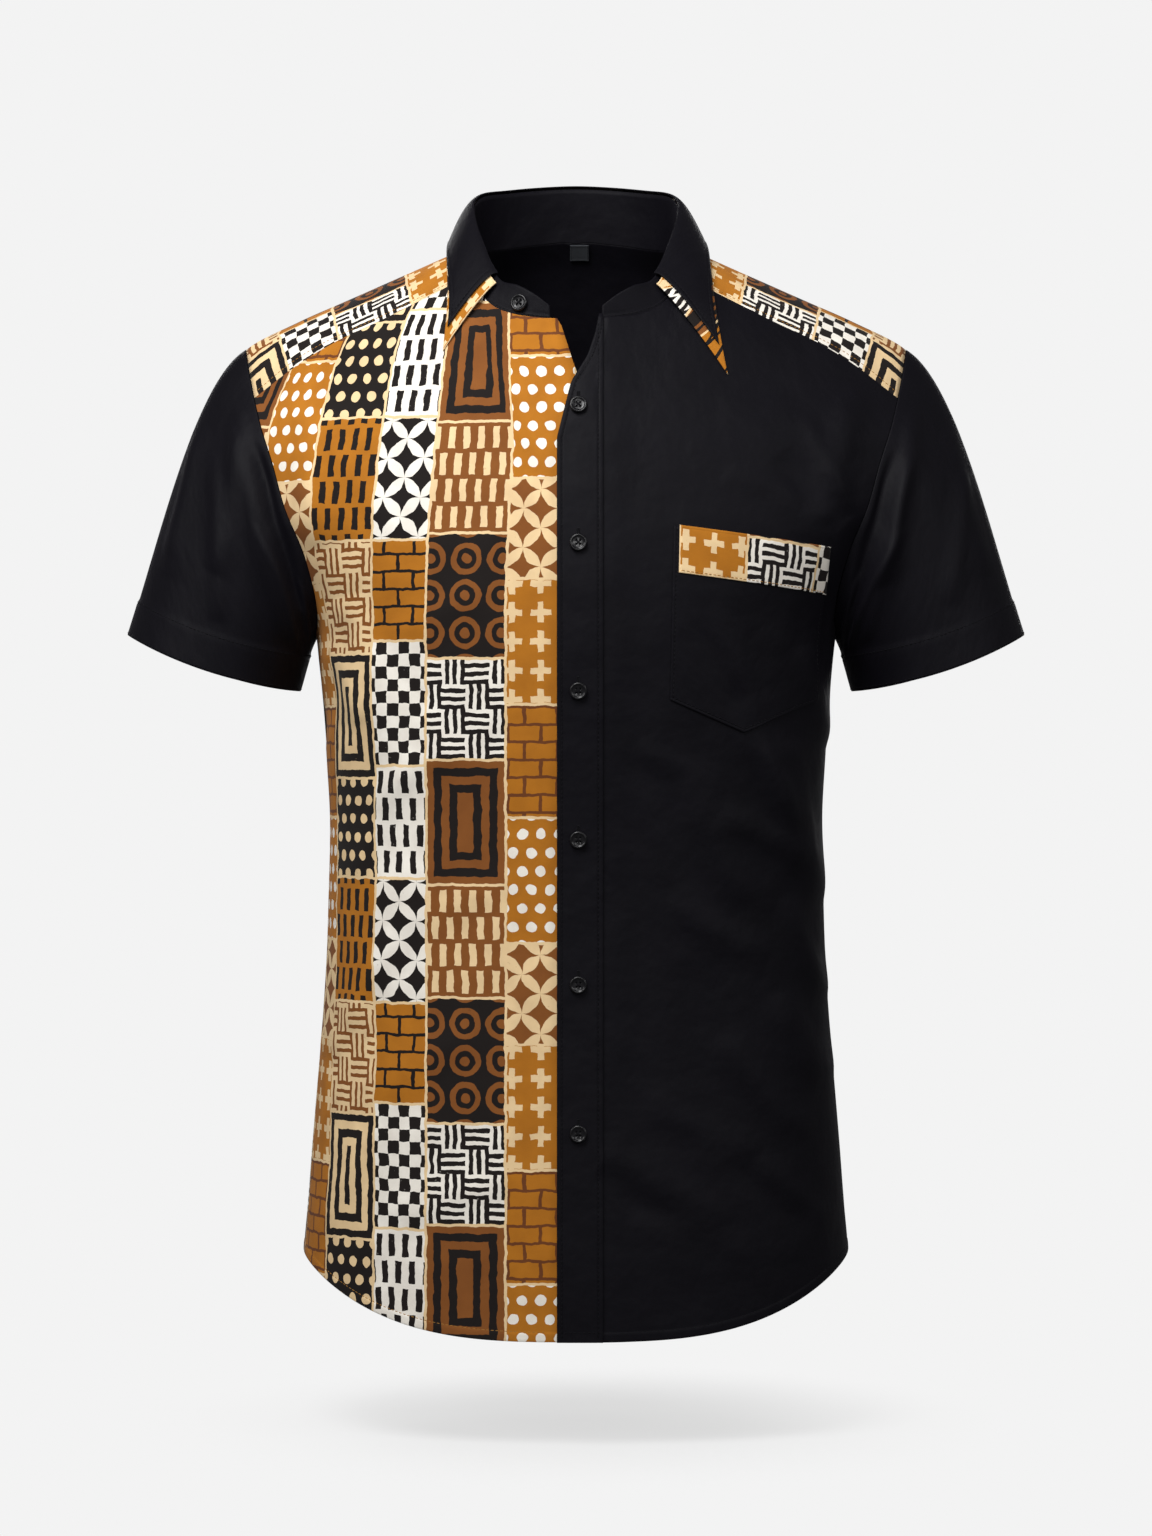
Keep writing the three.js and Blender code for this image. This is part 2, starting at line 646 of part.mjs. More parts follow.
function plainSleeve(round, along) {
  const start = armholeRound(round);
  start.x += SLEEVE_CLEAR;
  const end = cuffRound(round);
  const long = start.distanceTo(end);
  const under = (1 - Math.cos(2 * Math.PI * round)) / 2;
  const leave = SLEEVE_LEAVES_TOP.clone().lerp(SLEEVE_LEAVES_UNDER, under)
    .multiplyScalar(long * SLEEVE_START_PULL);
  const arrive = new THREE.Vector3(CUFF.leanZ, 0, -CUFF.leanX).multiplyScalar(long * SLEEVE_END_PULL);
  return new THREE.Vector3(
    hermite(start.x, leave.x, end.x, arrive.x, along),
    hermite(start.y, leave.y, end.y, arrive.y, along),
    hermite(start.z, leave.z, end.z, arrive.z, along),
  );
}

function sleeveLift(round, along) {
  const way = (round > 0.5 ? round - 1 : round) * SLEEVE_ROUND;
  const folds = SLEEVE_FOLDS.map((fold) => (
    { ...fold, x1: fold.round1, z1: fold.along1, x2: fold.round2, z2: fold.along2 }
  ));
  const long = armholeRound(round).distanceTo(cuffRound(round));
  const hem = smoothStep(-SLEEVE_HEM - 2, -SLEEVE_HEM + 2, (along - 1) * long);
  const calm = smoothStep(0, 0.1, along) * (1 - smoothStep(0.75, 1, along));
  return foldHeight(folds, way, along * SLEEVE_LONG) * calm + hem * SLEEVE_HEM_PROUD;
}

function sleeve(round, along) {
  const step = NORMAL_STEP;
  const point = plainSleeve(round, along);
  const across = plainSleeve((round + step) % 1, along).sub(plainSleeve((round + 1 - step) % 1, along));
  const [near, far] = [Math.max(0, along - step), Math.min(1, along + step)];
  const down = plainSleeve(round, far).sub(plainSleeve(round, near));
  const normal = across.cross(down).normalize();
  return point.addScaledVector(normal, sleeveLift(round, along));
}

function buildSleeves() {
  const columns = sleeveColumns();
  add('sleeve_left', wall(sleeve, columns, SLEEVE_ROWS, { ring: true }), BLACK);
  const right = mirrored(sleeve);
  add('sleeve_right', wall(right, columns, SLEEVE_ROWS, { facing: -1, ring: true }), BLACK);
}

// Collar. A place round it is a row of the table, negative on the wearer's right.

const LAST_ROW = COLLAR.length - 1;
const PLACE_STEP = 0.01;

function roundTheNeck(xName, yName, zOf) {
  const half = COLLAR.map((row) => new THREE.Vector3(row[xName], row[yName], zOf(row)));
  const right = half.slice(1).reverse().map((point) => point.clone().setX(-point.x));
  const curve = new THREE.CatmullRomCurve3([...right, ...half]);
  return (place) => curve.getPoint((place + LAST_ROW) / (2 * LAST_ROW));
}

const foldLine = roundTheNeck('foldX', 'foldY', (row) => row.foldZ);
const leafPlan = roundTheNeck('edgeX', 'edgeY', () => 0);

function footPoint(place) {
  const point = neckPoint(Math.abs(place) / LAST_ROW);
  if (place < 0) point.x *= -1;
  point.z += FOOT_CLEAR;
  return point;
}

function standPoint(place, rise) {
  return footPoint(place).lerp(foldLine(place), rise);
}

function leafEdge(place) {
  const point = leafPlan(place);
  const spread = place > 0 ? (place / LEAF_LAST) ** 3 : 0;
  point.x += LEAF_SPREAD * spread;
  point.y -= LEAF_SPREAD_FORWARD * spread;
  point.z = Math.min(shoulderZ(point.x, point.y), LEAF_HIGHEST_Z) + LEAF_REST;
  return point;
}

function leafPoint(place, down, lift) {
  const fold = foldLine(place);
  fold.z += FOLD_CLEAR;
  const edge = leafEdge(place);
  const away = edge.clone().sub(fold).setZ(0).normalize();
  const rolled = fold.clone().addScaledVector(away, LEAF_ROLL);
  rolled.z += LEAF_RISE;
  const full = edge.clone().lerp(fold, LEAF_FULL_AT).addScaledVector(away, LEAF_BULGE);
  const line = new THREE.CubicBezierCurve3(fold, rolled, full, edge);
  const point = line.getPoint(down);
  const tangent = line.getTangent(clamp01(down));
  const along = foldLine(Math.min(LAST_ROW, place + PLACE_STEP)).sub(foldLine(place - PLACE_STEP));
  const normal = tangent.cross(along).normalize().multiplyScalar(-1);
  return point.addScaledVector(normal, lift);
}

function buildCollar() {
  const stand = (u, v) => standPoint(mix(-LAST_ROW, LAST_ROW, u), v);
  add('collar_stand', wall(stand, 48, 2, { facing: -1 }), BLACK);
  const last = LEAF_LAST - LEAF_BORDER;
  const leaf = (u, v) => leafPoint(mix(-last, last, u), v * (1 - LEAF_HEM_BORDER), LEAF_LIFT);
  add('collar_leaf', wall(leaf, 36, 5), BLACK);
  const under = (u, v) => leafPoint(mix(-LEAF_LAST, LEAF_LAST, u), mix(UNDER_FROM, 1, v), 0);
  add('collar_under', wall(under, 36, 4), PRINT);
}

// Pocket and its band

function pocketLeftX(v) {
  return mix(POCKET.footLeftX, POCKET.leftX, v);
}

function pocketRightX(v) {
  return mix(POCKET.footRightX, POCKET.rightX, v);
}

function pocketPoint(u, v, lift) {
  const top = mix(POCKET.topLeftZ, POCKET.topRightZ, u);
  const foot = POCKET.footZ - POCKET.point * (1 - Math.abs(2 * u - 1));
  return frontAtX(mix(pocketLeftX(v), pocketRightX(v), u), mix(foot, top, v), lift);
}

function bandPoint(u, v) {
  const up = 1 - (1 - v) * BAND_DEPTH / (POCKET.topLeftZ - POCKET.footZ);
  const x = mix(pocketLeftX(up) + BAND_INSET, pocketRightX(up), u);
  const top = mix(POCKET.topLeftZ, POCKET.topRightZ, u);
  return frontAtX(x, top - BAND_DEPTH * (1 - v), POCKET_LIFT + LAYER);
}

function buildPocket() {
  add('pocket', wall((u, v) => pocketPoint(u, v, POCKET_LIFT), 10, 10), BLACK);
  add('pocket_band', wall(bandPoint, 10, 3), PRINT);
}

// Buttons and label

function buttonGeometry() {
  const { radius, thick, rim, dish, round, segments } = BUTTON;
  const profile = [
    [0, 0], [radius - round, 0], [radius, round], [radius, thick - round],
    [radius - round, thick], [radius - rim, thick], [radius - rim - round, thick - dish],
    [0, thick - dish],
  ];
  const geometry = new THREE.LatheGeometry(profile.map(([r, y]) => new THREE.Vector2(r, y)), segments);
  return geometry.rotateX(Math.PI / 2);
}

function addButton(name, point, outward) {
  const button = add(name, buttonGeometry(), GLOSS);
  button.position.copy(point).addScaledVector(outward, BUTTON_SEAT);
  button.quaternion.setFromUnitVectors(new THREE.Vector3(0, 0, 1), outward);
}

function outwardAt(surface, u, v, step) {
  const across = surface(u + step, v).sub(surface(u - step, v));
  return across.cross(surface(u, v + step).sub(surface(u, v - step))).normalize();
}

function buildButtons() {
  const onPlacket = (x, z) => frontAtX(x, z, 2 * LAYER);
  BUTTON_Z.forEach((z, i) => {
    addButton(`button_${i + 1}`, onPlacket(BUTTON.x, z), outwardAt(onPlacket, BUTTON.x, z, 1));
  });
  const { row, rise } = COLLAR_BUTTON;
  const outward = outwardAt(standPoint, row, rise, 0.05).negate();
  addButton('collar_button', standPoint(row, rise), outward);
}

function buildLabel() {
  const { x, z, wide, high, thick, clear } = LABEL;
  const label = add('neck_label', new THREE.BoxGeometry(wide, high, thick), LABEL_CLOTH);
  const inside = (along, up) => bodyPoint('back', turnAtX('back', up, along), up);
  const inward = outwardAt(inside, x, z, 1);
  label.position.copy(inside(x, z)).addScaledVector(inward, WALL + clear + thick / 2);
  label.quaternion.setFromUnitVectors(new THREE.Vector3(0, 0, 1), inward);
}

buildFronts();
buildPlacket();
buildBack();
buildShoulders();
buildSleeves();
buildCollar();
buildPocket();
buildButtons();
buildLabel();

export default shirt;
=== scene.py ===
"""A short-sleeve shirt, filled out as it is when worn, on a plain pale floor.

Lengths in the tables are millimetres, +Z up, +X towards the wearer's left, the front faces -Y.
Every piece of cloth is a thin shell on the form of the solid that it stands for.
"""

import math

import bpy
import numpy as np
from mathutils import Matrix, Vector


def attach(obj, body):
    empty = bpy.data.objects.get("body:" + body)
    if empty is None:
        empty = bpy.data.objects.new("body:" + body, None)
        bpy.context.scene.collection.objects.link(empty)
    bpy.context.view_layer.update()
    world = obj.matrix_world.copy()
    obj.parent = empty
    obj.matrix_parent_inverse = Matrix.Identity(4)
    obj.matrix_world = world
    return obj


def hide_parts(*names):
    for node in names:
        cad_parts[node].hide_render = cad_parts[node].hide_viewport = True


MM = 0.001
BODY_NAME = "root"

# Cloth
PLY = 0.8  # thickness of a shell
CAD_WALL = 1.2  # thickness of the solids
SEAM_GAP = 0.06  # between pieces that meet edge to edge
LAYER = 1.65  # one ply laid on another

# Level sections of the body, from the neck down: height, half width, depth in front and behind,
# and how square the section is in front and behind.
BODY = np.array([
    [24, 56, 46, 65, 1.55, 2.2],
    [8, 76, 56, 75, 1.55, 2.2],
    [-1.4, 96, 62, 80, 1.55, 2.15],
    [-15, 126.8, 71, 86, 1.5, 2.05],
    [-28.6, 157.6, 80, 91, 1.5, 1.95],
    [-42, 188, 87, 96, 1.5, 1.88],
    [-61, 224, 95, 103, 1.5, 1.8],
    [-92, 244, 105, 111, 1.6, 1.85],
    [-118, 254, 113, 116, 1.75, 1.95],
    [-142, 248, 118, 119, 1.9, 2.05],
    [-173, 232, 123, 120, 2.1, 2.15],
    [-198, 207, 126, 119, 2.3, 2.3],
    [-226, 187, 128, 116, 2.4, 2.4],
    [-244, 179, 128, 114, 2.4, 2.4],
    [-257, 176, 128, 112, 2.4, 2.4],
    [-301, 171.7, 126, 105, 2.4, 2.4],
    [-341, 169, 123, 97.5, 2.4, 2.4],
    [-382, 166.9, 120, 92, 2.4, 2.4],
    [-437, 168, 118, 88.5, 2.4, 2.4],
    [-477, 169.3, 118.5, 91, 2.4, 2.4],
    [-518, 172, 119.5, 98, 2.4, 2.4],
    [-559, 175.4, 121, 106, 2.4, 2.4],
    [-600, 178.8, 122.5, 113, 2.4, 2.4],
    [-641, 181.9, 124, 118, 2.4, 2.4],
    [-668, 184.3, 125, 120, 2.4, 2.4],
    [-740, 188, 126, 122, 2.4, 2.4],
])

# Armhole seam: height, and how far out it lies.
ARMHOLE = np.array([
    [-61, 224], [-92, 217], [-118, 210], [-142, 202], [-173, 193],
    [-198, 182.5], [-226, 175], [-244, 173], [-250, 173.8], [-257, 176],
])
SHOULDER_TIP_Z = -61
UNDERARM_Z = -257
SHOULDER_LOW_Z = -150

HEM_LOWEST_Z = {"front": -719.6, "back": -734}
HEM_SIDE_Z = -671
HEM_POWER = 3.2
HEM_LEVEL_Z = -700

COLUMN_SPREAD = 0.833
LOWER_PART = 0.5
STRIP_CROWDING = 1.5
NORMAL_STEP = 0.002
HALVINGS = 40
SAMPLES = 160

# Shoulder strips: where their seams leave the neck and reach the armhole, and how they sag.
STRIP = {"front": (-50, -97, 8), "back": (40, -88, 6)}

# Front edges at the open neck (height, x) and the placket's outer side.
RIGHT_EDGE = np.array([[-42, -16.4], [-54, -9.5], [-78, -2], [-130, 16], [-740, 16]])
LEFT_EDGE = np.array([[-46, 15], [-60, 12.4], [-75, 7.5], [-92.5, -3], [-130, -12.4], [-740, -12.4]])
PLACKET_OUTER_X = 17.6
PLACKET_TOP_Z = -47
# The strips' black inside stands for the print's duller reverse with painted shade on it.
DARK_INSIDE_TO = 0.93  # part of a strip's way back over which its inside is black
PLACKET_OVERHANG = 0.6
OVERLAP_FROM_X = 20
OVERLAP_TO_X = 42

# Collar, from the middle of the back round to the front: foot of the stand (x, y), its fold
# (x, y, z), and the edge of the turned-down leaf (x, y).
COLLAR = np.array([
    [0, 68, 0, 61, 56, 0, 77],
    [26, 64, 25, 57.5, 54.5, 31, 73],
    [50, 52, 47, 46, 51, 59, 60],
    [66, 34, 63, 27, 46.5, 79, 40],
    [73, 12, 69, 8, 39, 86, 16],
    [74, -8, 69, -12, 29, 87, -8],
    [72, -30, 66, -32, 15, 87, -33],
    [69, -50, 62, -46, 3, 86, -55],
    [64, -66, 56, -60, -12, 86, -72],
    [54.6, -76, 49, -71, -22, 88, -84],
    [41, -82.6, 38, -80.5, -26, 88, -84],
    [27, -86.5, 27, -85.5, -32.5, 88, -84],
    [17, -88.5, 17.5, -88, -40, 88, -84],
], float)
LAST_ROW = 12
LEAF_LAST = 9
LEAF_HIGHEST_Z = 12
LEAF_REST = 3.4
LEAF_ROLL = 6
LEAF_RISE = 2
LEAF_BULGE = 4
LEAF_FULL_AT = 0.35
LEAF_SPREAD = (12.5, -3)  # the left point stands this much farther out and forward
LEAF_BORDER = 0.45
LEAF_HEM_BORDER = 0.1
LEAF_LIFT = 1.8
UNDER_FROM = 0.16
JUST_SHORT = 1e-6  # of the last row of the leaf's edge
PLACE_STEP = 0.01
FOOT_CLEAR = 0.6
FOLD_CLEAR = 0.5
STAND_COVER = 1.0  # how far the stand's cloth reaches down over its seam
STAND_HIGH, LEAF_LONG, COLLAR_LONG = 36, 55, 400  # rough sizes of the flat cloth

# Sleeves
CUFF_X, CUFF_Z, CUFF_WIDE, CUFF_DEEP, CUFF_DIP = 246, -274, 61, 62, 7
CUFF_LEAN = (0.951, 0.311)
SLEEVE_HEM = 24
SLEEVE_HEM_PROUD = 0.8
SLEEVE_CLEAR = 0.5
SLEEVE_LEAVES_TOP = np.array([0.85, 0, -0.5])
SLEEVE_LEAVES_UNDER = np.array([0.6, 0, -0.8])
SLEEVE_PULLS = (0.58, 0.95)
SLEEVE_ROUND = 400
SLEEVE_LONG = 200
SLEEVE_HEM_SOFT = 2
SLEEVE_FOLDS_FULL = (0.1, 0.75)  # parts of its length between which folds are full

# Pocket: its sides at the top and at the foot, heights, and depth of its point.
POCKET_TOP_X = (64, 167)
POCKET_FOOT_X = (61.5, 158)
POCKET_TOP_Z = (-187, -199)
POCKET_FOOT_Z = -301
POCKET_POINT = 21
POCKET_LIFT = 1.05
BAND_LIFT = 0.95  # the band over the pocket
BAND_DEPTH = 31
BAND_INSET = 3.5
POCKET_FADE = 12
POCKET_CALM = 0.25  # folds keep this part of their depth under the pocket
POCKET_WIDE, POCKET_LONG = 100, 114  # rough size of the flat cloth

# Buttons: the profile is (distance from the axis, height), from under the middle round to its top.
BUTTON_X = 1.5
BUTTON_Z = (-109, -199, -295, -392, -487, -584)
BUTTON_SEAT = 0.3
COLLAR_BUTTON = (-10.2, 0.4)  # row of the collar, and part of the stand's height
BUTTON_SEGMENTS = 48
BUTTON_PROFILE = (
    (0, 0.45), (3.4, 0.4), (4.9, 0.5), (5.5, 0.85), (5.75, 1.35), (5.7, 1.85), (5.4, 2.35),
    (4.95, 2.6), (4.5, 2.55), (4.15, 2.2), (3.85, 1.95), (3.3, 1.85), (1.8, 1.82), (0, 1.82),
)
HOLE_RADIUS, HOLE_OFF = 0.62, 1.15
DRILL_SIDES = 16
DRILL_PROFILE = ((0, -1), (HOLE_RADIUS, -1), (HOLE_RADIUS, 1.6), (HOLE_RADIUS * 1.5, 2.1), (0, 2.1))
BAR_RADIUS, BAR_OFF, BAR_FOOT, BAR_RISE, BAR_STEP = 0.224, 0.2, 1.2, 0.85, 0.3
SHANK_RADIUS, SHANK_Z = 1.5, (-0.25, 0.0, 0.3, 0.8)
# Buttonholes: length, parts of it above and below the button, and spacing of the stitches; then
# the stitches' distance from the slit, length and radius, and the same of the bars at its ends.
BUTTONHOLE_LONG, BUTTONHOLE_UP, BUTTONHOLE_DOWN, BUTTONHOLE_PITCH = 14.5, 0.62, 0.38, 0.62
WORK_OFF, WORK_LONG, WORK_RADIUS = 0.62, 1.15, 0.3
END_OFF, END_LONG, END_RADIUS = 0.5, 2.4, 0.42

# Neck label: x, height, width, height of the cloth, and clearance from the wall at its middle
LABEL_X, LABEL_Z, LABEL_WIDE, LABEL_HIGH, LABEL_CLEAR = 2.4, 14, 13, 12, 0.9
LABEL_SAG, LABEL_SET_BACK = 0.3, 0.1
LABEL_FOLDS, LABEL_FOLD_WIDE = (0.25, 0.2), 0.08  # rise of the turned upper and lower edge
LABEL_STITCHES = {"pitch": 2.0, "long": 1.3, "radius": 0.14}

# Stitches, and how far inside an edge each seam runs. A stitch's rings are (part of its length,
# part of its radius, rise).
STITCH_PITCH, STITCH_LONG, STITCH_RADIUS, STITCH_SINK, STITCH_SIDES = 3.0, 2.1, 0.24, 0.05, 6
STITCH_RINGS = ((-0.5, 0.35, -0.9), (-0.36, 0.9, -0.2), (0, 1, 0.25), (0.36, 0.9, -0.2), (0.5, 0.35, -0.9))
STITCH_RISE = 0.6
HEM_INSET, PLACKET_INSET, COLLAR_INSET, STRIP_INSET = 6.5, 3.2, 4.5, 2.2
POCKET_INSET, STAND_INSET, CUFF_INSET = 1.8, 3.0, 1.6
STRIP_WIDE = 105
# Part of a line that is left bare at its ends; a front's hem starts under or beside the placket.
HEM_END, LEFT_HEM_START, RIGHT_HEM_START = 0.004, 0.12, 0.08
LEAF_END, LEAF_TIP_START, STAND_END, STRIP_END, BAND_END, LABEL_END = 0.012, 0.08, 0.006, 0.015, 0.015, 0.06
# Parts of the way up a piece at which lines run
STRIP_LINES, STAND_LINE, BAND_LINE, POCKET_LINES = (0.028, 0.972), 0.1, 0.05, (0.02, 0.99)
SURFACE_STEP, AHEAD_STEP = 0.003, 0.4
# Relief of a sewn edge: how softly its turned ply ends, and the widths of its groove and rounding
PLY_ENDS, GROOVE_WIDE, ROUNDING_WIDE = (-0.2, 1.2), 0.6, 0.7

# Columns and rows of each piece's mesh
COLUMNS = {
    "front": 86, "back": 160, "placket": 6, "strip": 60, "sleeve": 150, "stand": 170, "under": 180,
    "leaf": 170, "pocket": 48, "band": 48, "label": 20,
}
ROWS = {
    "body": 220, "placket": 230, "strip": 40, "sleeve": 78, "stand": 12, "under": 26, "leaf": 26,
    "pocket": 50, "band": 12, "label": 20,
}

# Folds: from one point to another, bowed sideways in the middle; half width, and depth that is
# positive for a ridge and negative for a trough. The first ones are the solid's own.
FRONT_FOLDS = np.array([
    [187, -86, 165, -212, 5, 11, 3.5], [134, -138, 176, -186, 0, 11, -2.5],
    [66, -236, 108, -290, 0, 12, 1.5], [131, -320, 164, -436, 4, 12, 4],
    [75, -348, 112, -438, 4, 13, 3], [132, -494, 168, -556, 3, 12, 3],
    [18, -592, 106, -644, 4, 13, 2], [-152, -232, -126, -348, -5, 14, 3.5],
    [-108, -402, -150, -520, 5, 15, 2.5], [-178, -96, -168, -200, 4, 12, 3],
])
BACK_FOLDS = np.array([
    [-150, -240, -118, -372, 6, 14, 3], [158, -226, 122, -340, -6, 14, 3.5],
    [-96, -404, -136, -520, 4, 15, 3], [84, -420, 140, -530, -5, 15, 2.5],
    [-18, -470, 34, -610, 6, 16, 2],
])
SLEEVE_FOLDS = np.array([
    [38, 20, 150, 120, 12, 13, 3.5], [20, 60, 44, 150, 6, 14, 2.5],
    [-60, 25, -130, 110, -10, 14, 3],
])

# Softer creases that only the cloth shows, uneven in length, depth and spacing.
CREASE_DEPTH = 1.9
FRONT_CREASES = np.array([
    [78, -246, 130, -338, 4, 8, -0.8], [90, -238, 142, -344, 4, 8, 0.7],
    [114, -252, 143, -364, 4, 7, -0.7], [122, -314, 150, -420, 3, 7, 1.0],
    [148, -326, 160, -430, 2, 7, 0.8], [44, -352, 96, -470, 5, 12, 0.8],
    [70, -470, 100, -600, 4, 12, -0.8], [14, -606, 100, -664, 4, 10, -0.9],
    [92, -604, 158, -646, 4, 9, -0.8], [74, -588, 142, -646, 3, 8, 0.6],
    [-150, -246, -176, -330, -3, 8, -0.9], [-128, -262, -158, -356, -3, 8, 0.8],
    [150, -110, 184, -176, 3, 7, 1.1], [96, -150, 150, -172, -2, 9, 0.7],
    [40, -330, 84, -352, 2, 8, 0.8], [110, -300, 146, -386, 3, 9, 1.3],
    [92, -376, 150, -408, -3, 9, 1.2], [60, -430, 128, -472, 3, 10, 1.0],
    [140, -430, 168, -500, 2, 8, 1.4], [96, -520, 156, -590, 4, 10, 1.2],
    [46, -560, 120, -600, 3, 9, 0.8], [36, -640, 120, -668, -3, 10, 0.9],
    [120, -600, 172, -650, 3, 9, 1.0], [150, -264, 172, -330, 2, 8, 1.5],
    [-164, -262, -140, -318, -2, 9, 1.6], [-60, -236, -124, -262, 3, 10, 0.9],
    [-166, -130, -120, -196, -3, 9, 0.9], [-70, -330, -140, -372, 4, 10, 1.1],
    [-96, -300, -150, -420, -4, 9, 1.0], [-40, -420, -118, -452, 3, 10, 0.7],
    [-120, -450, -166, -540, -3, 9, 1.3], [-60, -520, -146, -570, 4, 11, 0.9],
    [-40, -610, -130, -640, -3, 10, 0.8], [-126, -580, -170, -660, 3, 9, 1.0],
])
BACK_CREASES = np.array([
    [-164, -250, -146, -330, 3, 9, 1.5], [164, -246, 140, -320, -3, 9, 1.4],
    [-120, -120, -166, -210, -3, 11, 1.2], [126, -124, 170, -206, 3, 11, 1.0],
    [-60, -140, 40, -156, 6, 14, 0.8], [-110, -300, -40, -372, 4, 12, 1.1],
    [104, -310, 46, -392, -4, 12, 1.2], [-30, -380, 70, -410, 5, 13, 0.9],
    [-150, -440, -120, -520, 3, 10, 1.2], [146, -430, 116, -512, -3, 10, 1.3],
    [-84, -520, 10, -566, 5, 13, 1.0], [96, -560, 130, -650, -4, 12, 1.0],
    [-140, -590, -96, -670, 4, 11, 0.9], [20, -640, 96, -676, -3, 12, 0.7],
])
SLEEVE_CREASES = {
    "left": np.array([
        [70, 10, 152, 62, 6, 12, -2.2], [66, 34, 120, 84, 8, 9, 1.6],
        [24, 90, 80, 150, 8, 10, 1.3], [96, 60, 168, 96, 6, 9, 1.4],
        [130, 40, 190, 70, 4, 8, 1.2], [-20, 40, -70, 130, -8, 10, 1.1],
        [-100, 50, -170, 90, -6, 9, 1.4],
    ]),
    "right": np.array([
        [64, 12, 150, 56, 6, 12, -2.4], [46, 60, 96, 152, 8, 8, 1.5],
        [50, 30, 84, 120, 10, 10, 1.9], [14, 70, 40, 140, 6, 10, 1.0],
        [100, 50, 160, 110, 8, 9, 1.5], [136, 30, 186, 84, 4, 8, 1.1],
        [-30, 50, -84, 120, -8, 10, 1.2], [-110, 40, -166, 100, -6, 9, 1.3],
    ]),
}


# Curves


def mix(a, b, t):
    return a + (b - a) * t


def smooth_step(start, end, value):
    t = np.clip((value - start) / (end - start), 0, 1)
    return t * t * (3 - 2 * t)


def unit(v):
    return v / np.maximum(np.linalg.norm(v, axis=-1, keepdims=True), 1e-9)


def points(x, y, z):
    return np.stack(np.broadcast_arrays(x, y, z), axis=-1).astype(float)


def hermite(p0, m0, p1, m1, t):
    a, b = t * t, t * t * t
    return (2 * b - 3 * a + 1) * p0 + (b - 2 * a + t) * m0 + (3 * a - 2 * b) * p1 + (b - a) * m1


def column(heights, values):
    """A smooth curve through a table column, read at any height."""
    z, v = np.asarray(heights, float)[::-1], np.asarray(values, float)[::-1]
    low, high = np.maximum(np.arange(len(z)) - 1, 0), np.minimum(np.arange(len(z)) + 1, len(z) - 1)
    slope = (v[high] - v[low]) / (z[high] - z[low])

    def read(at):
        at = np.clip(at, z[0], z[-1])
        i = np.clip(np.searchsorted(z, at, side="right") - 1, 0, len(z) - 2)
        span = z[i + 1] - z[i]
        return hermite(v[i], slope[i] * span, v[i + 1], slope[i + 1] * span, (at - z[i]) / span)

    return read


def straight_column(rows):
    return lambda at: np.interp(at, rows[::-1, 0], rows[::-1, 1])


class Curve:
    """A centripetal curve through points, read by its part of the way, point to point."""

    def __init__(self, through):
        p = np.asarray(through, float)
        self.p = np.vstack([2 * p[0] - p[1], p, 2 * p[-1] - p[-2]])
        self.n = len(p) - 1

    def __call__(self, way):
        at = np.clip(np.asarray(way, float), 0, 1) * self.n
        i = np.minimum(at.astype(int), self.n - 1)
        t = (at - i)[..., None]
        p0, p1, p2, p3 = (self.p[i + k] for k in range(4))
        d0, d1, d2 = (
            np.sqrt(np.linalg.norm(b - a, axis=-1, keepdims=True))
            for a, b in ((p0, p1), (p1, p2), (p2, p3))
        )
        d0, d2 = np.where(d0 < 1e-4, d1, d0), np.where(d2 < 1e-4, d1, d2)
        m1 = ((p1 - p0) / d0 - (p2 - p0) / (d0 + d1) + (p2 - p1) / d1) * d1
        m2 = ((p2 - p1) / d1 - (p3 - p1) / (d1 + d2) + (p3 - p2) / d2) * d1
        return hermite(p1, m1, p2, m2, t)


# Body surface. A turn is 0 at the middle of the front or back and 1 at the side seam.

half_at = column(BODY[:, 0], BODY[:, 1])
DEPTH = {"front": column(BODY[:, 0], BODY[:, 2]), "back": column(BODY[:, 0], BODY[:, 3])}
SQUARE = {"front": column(BODY[:, 0], BODY[:, 4]), "back": column(BODY[:, 0], BODY[:, 5])}
TOWARDS = {"front": -1, "back": 1}
armhole_x = column(ARMHOLE[:, 0], ARMHOLE[:, 1])
right_edge_x = straight_column(RIGHT_EDGE)
left_edge_x = straight_column(LEFT_EDGE)


def body_point(side, turn, z):
    power = 2 / SQUARE[side](z)
    angle = np.abs(turn) * math.pi / 2
    x = np.sign(turn) * half_at(z) * np.sin(angle) ** power
    y = TOWARDS[side] * DEPTH[side](z) * np.maximum(0, np.cos(angle)) ** power
    return points(x, y, z)


def turn_at_x(side, z, x):
    part = np.minimum(1, np.abs(x) / half_at(z))
    return np.sign(x) * np.arcsin(part ** (SQUARE[side](z) / 2)) * 2 / math.pi


def turn_at_y(side, z, y):
    part = np.minimum(1, np.abs(y) / DEPTH[side](z))
    return np.arccos(part ** (SQUARE[side](z) / 2)) * 2 / math.pi


def shoulder_z(x, y):
    """Height of the shoulder surface over a point of the plan, found by halving."""
    x, y = np.broadcast_arrays(np.asarray(x, float), np.asarray(y, float))
    low, high = np.full(x.shape, float(SHOULDER_LOW_Z)), np.full(x.shape, BODY[0, 0])
    for _ in range(HALVINGS):
        z = (low + high) / 2
        n = np.where(y < 0, SQUARE["front"](z), SQUARE["back"](z))
        deep = np.where(y < 0, DEPTH["front"](z), DEPTH["back"](z))
        over = (np.abs(x) / half_at(z)) ** n + (np.abs(y) / deep) ** n > 1
        low, high = np.where(over, low, z), np.where(over, z, high)
    return (low + high) / 2


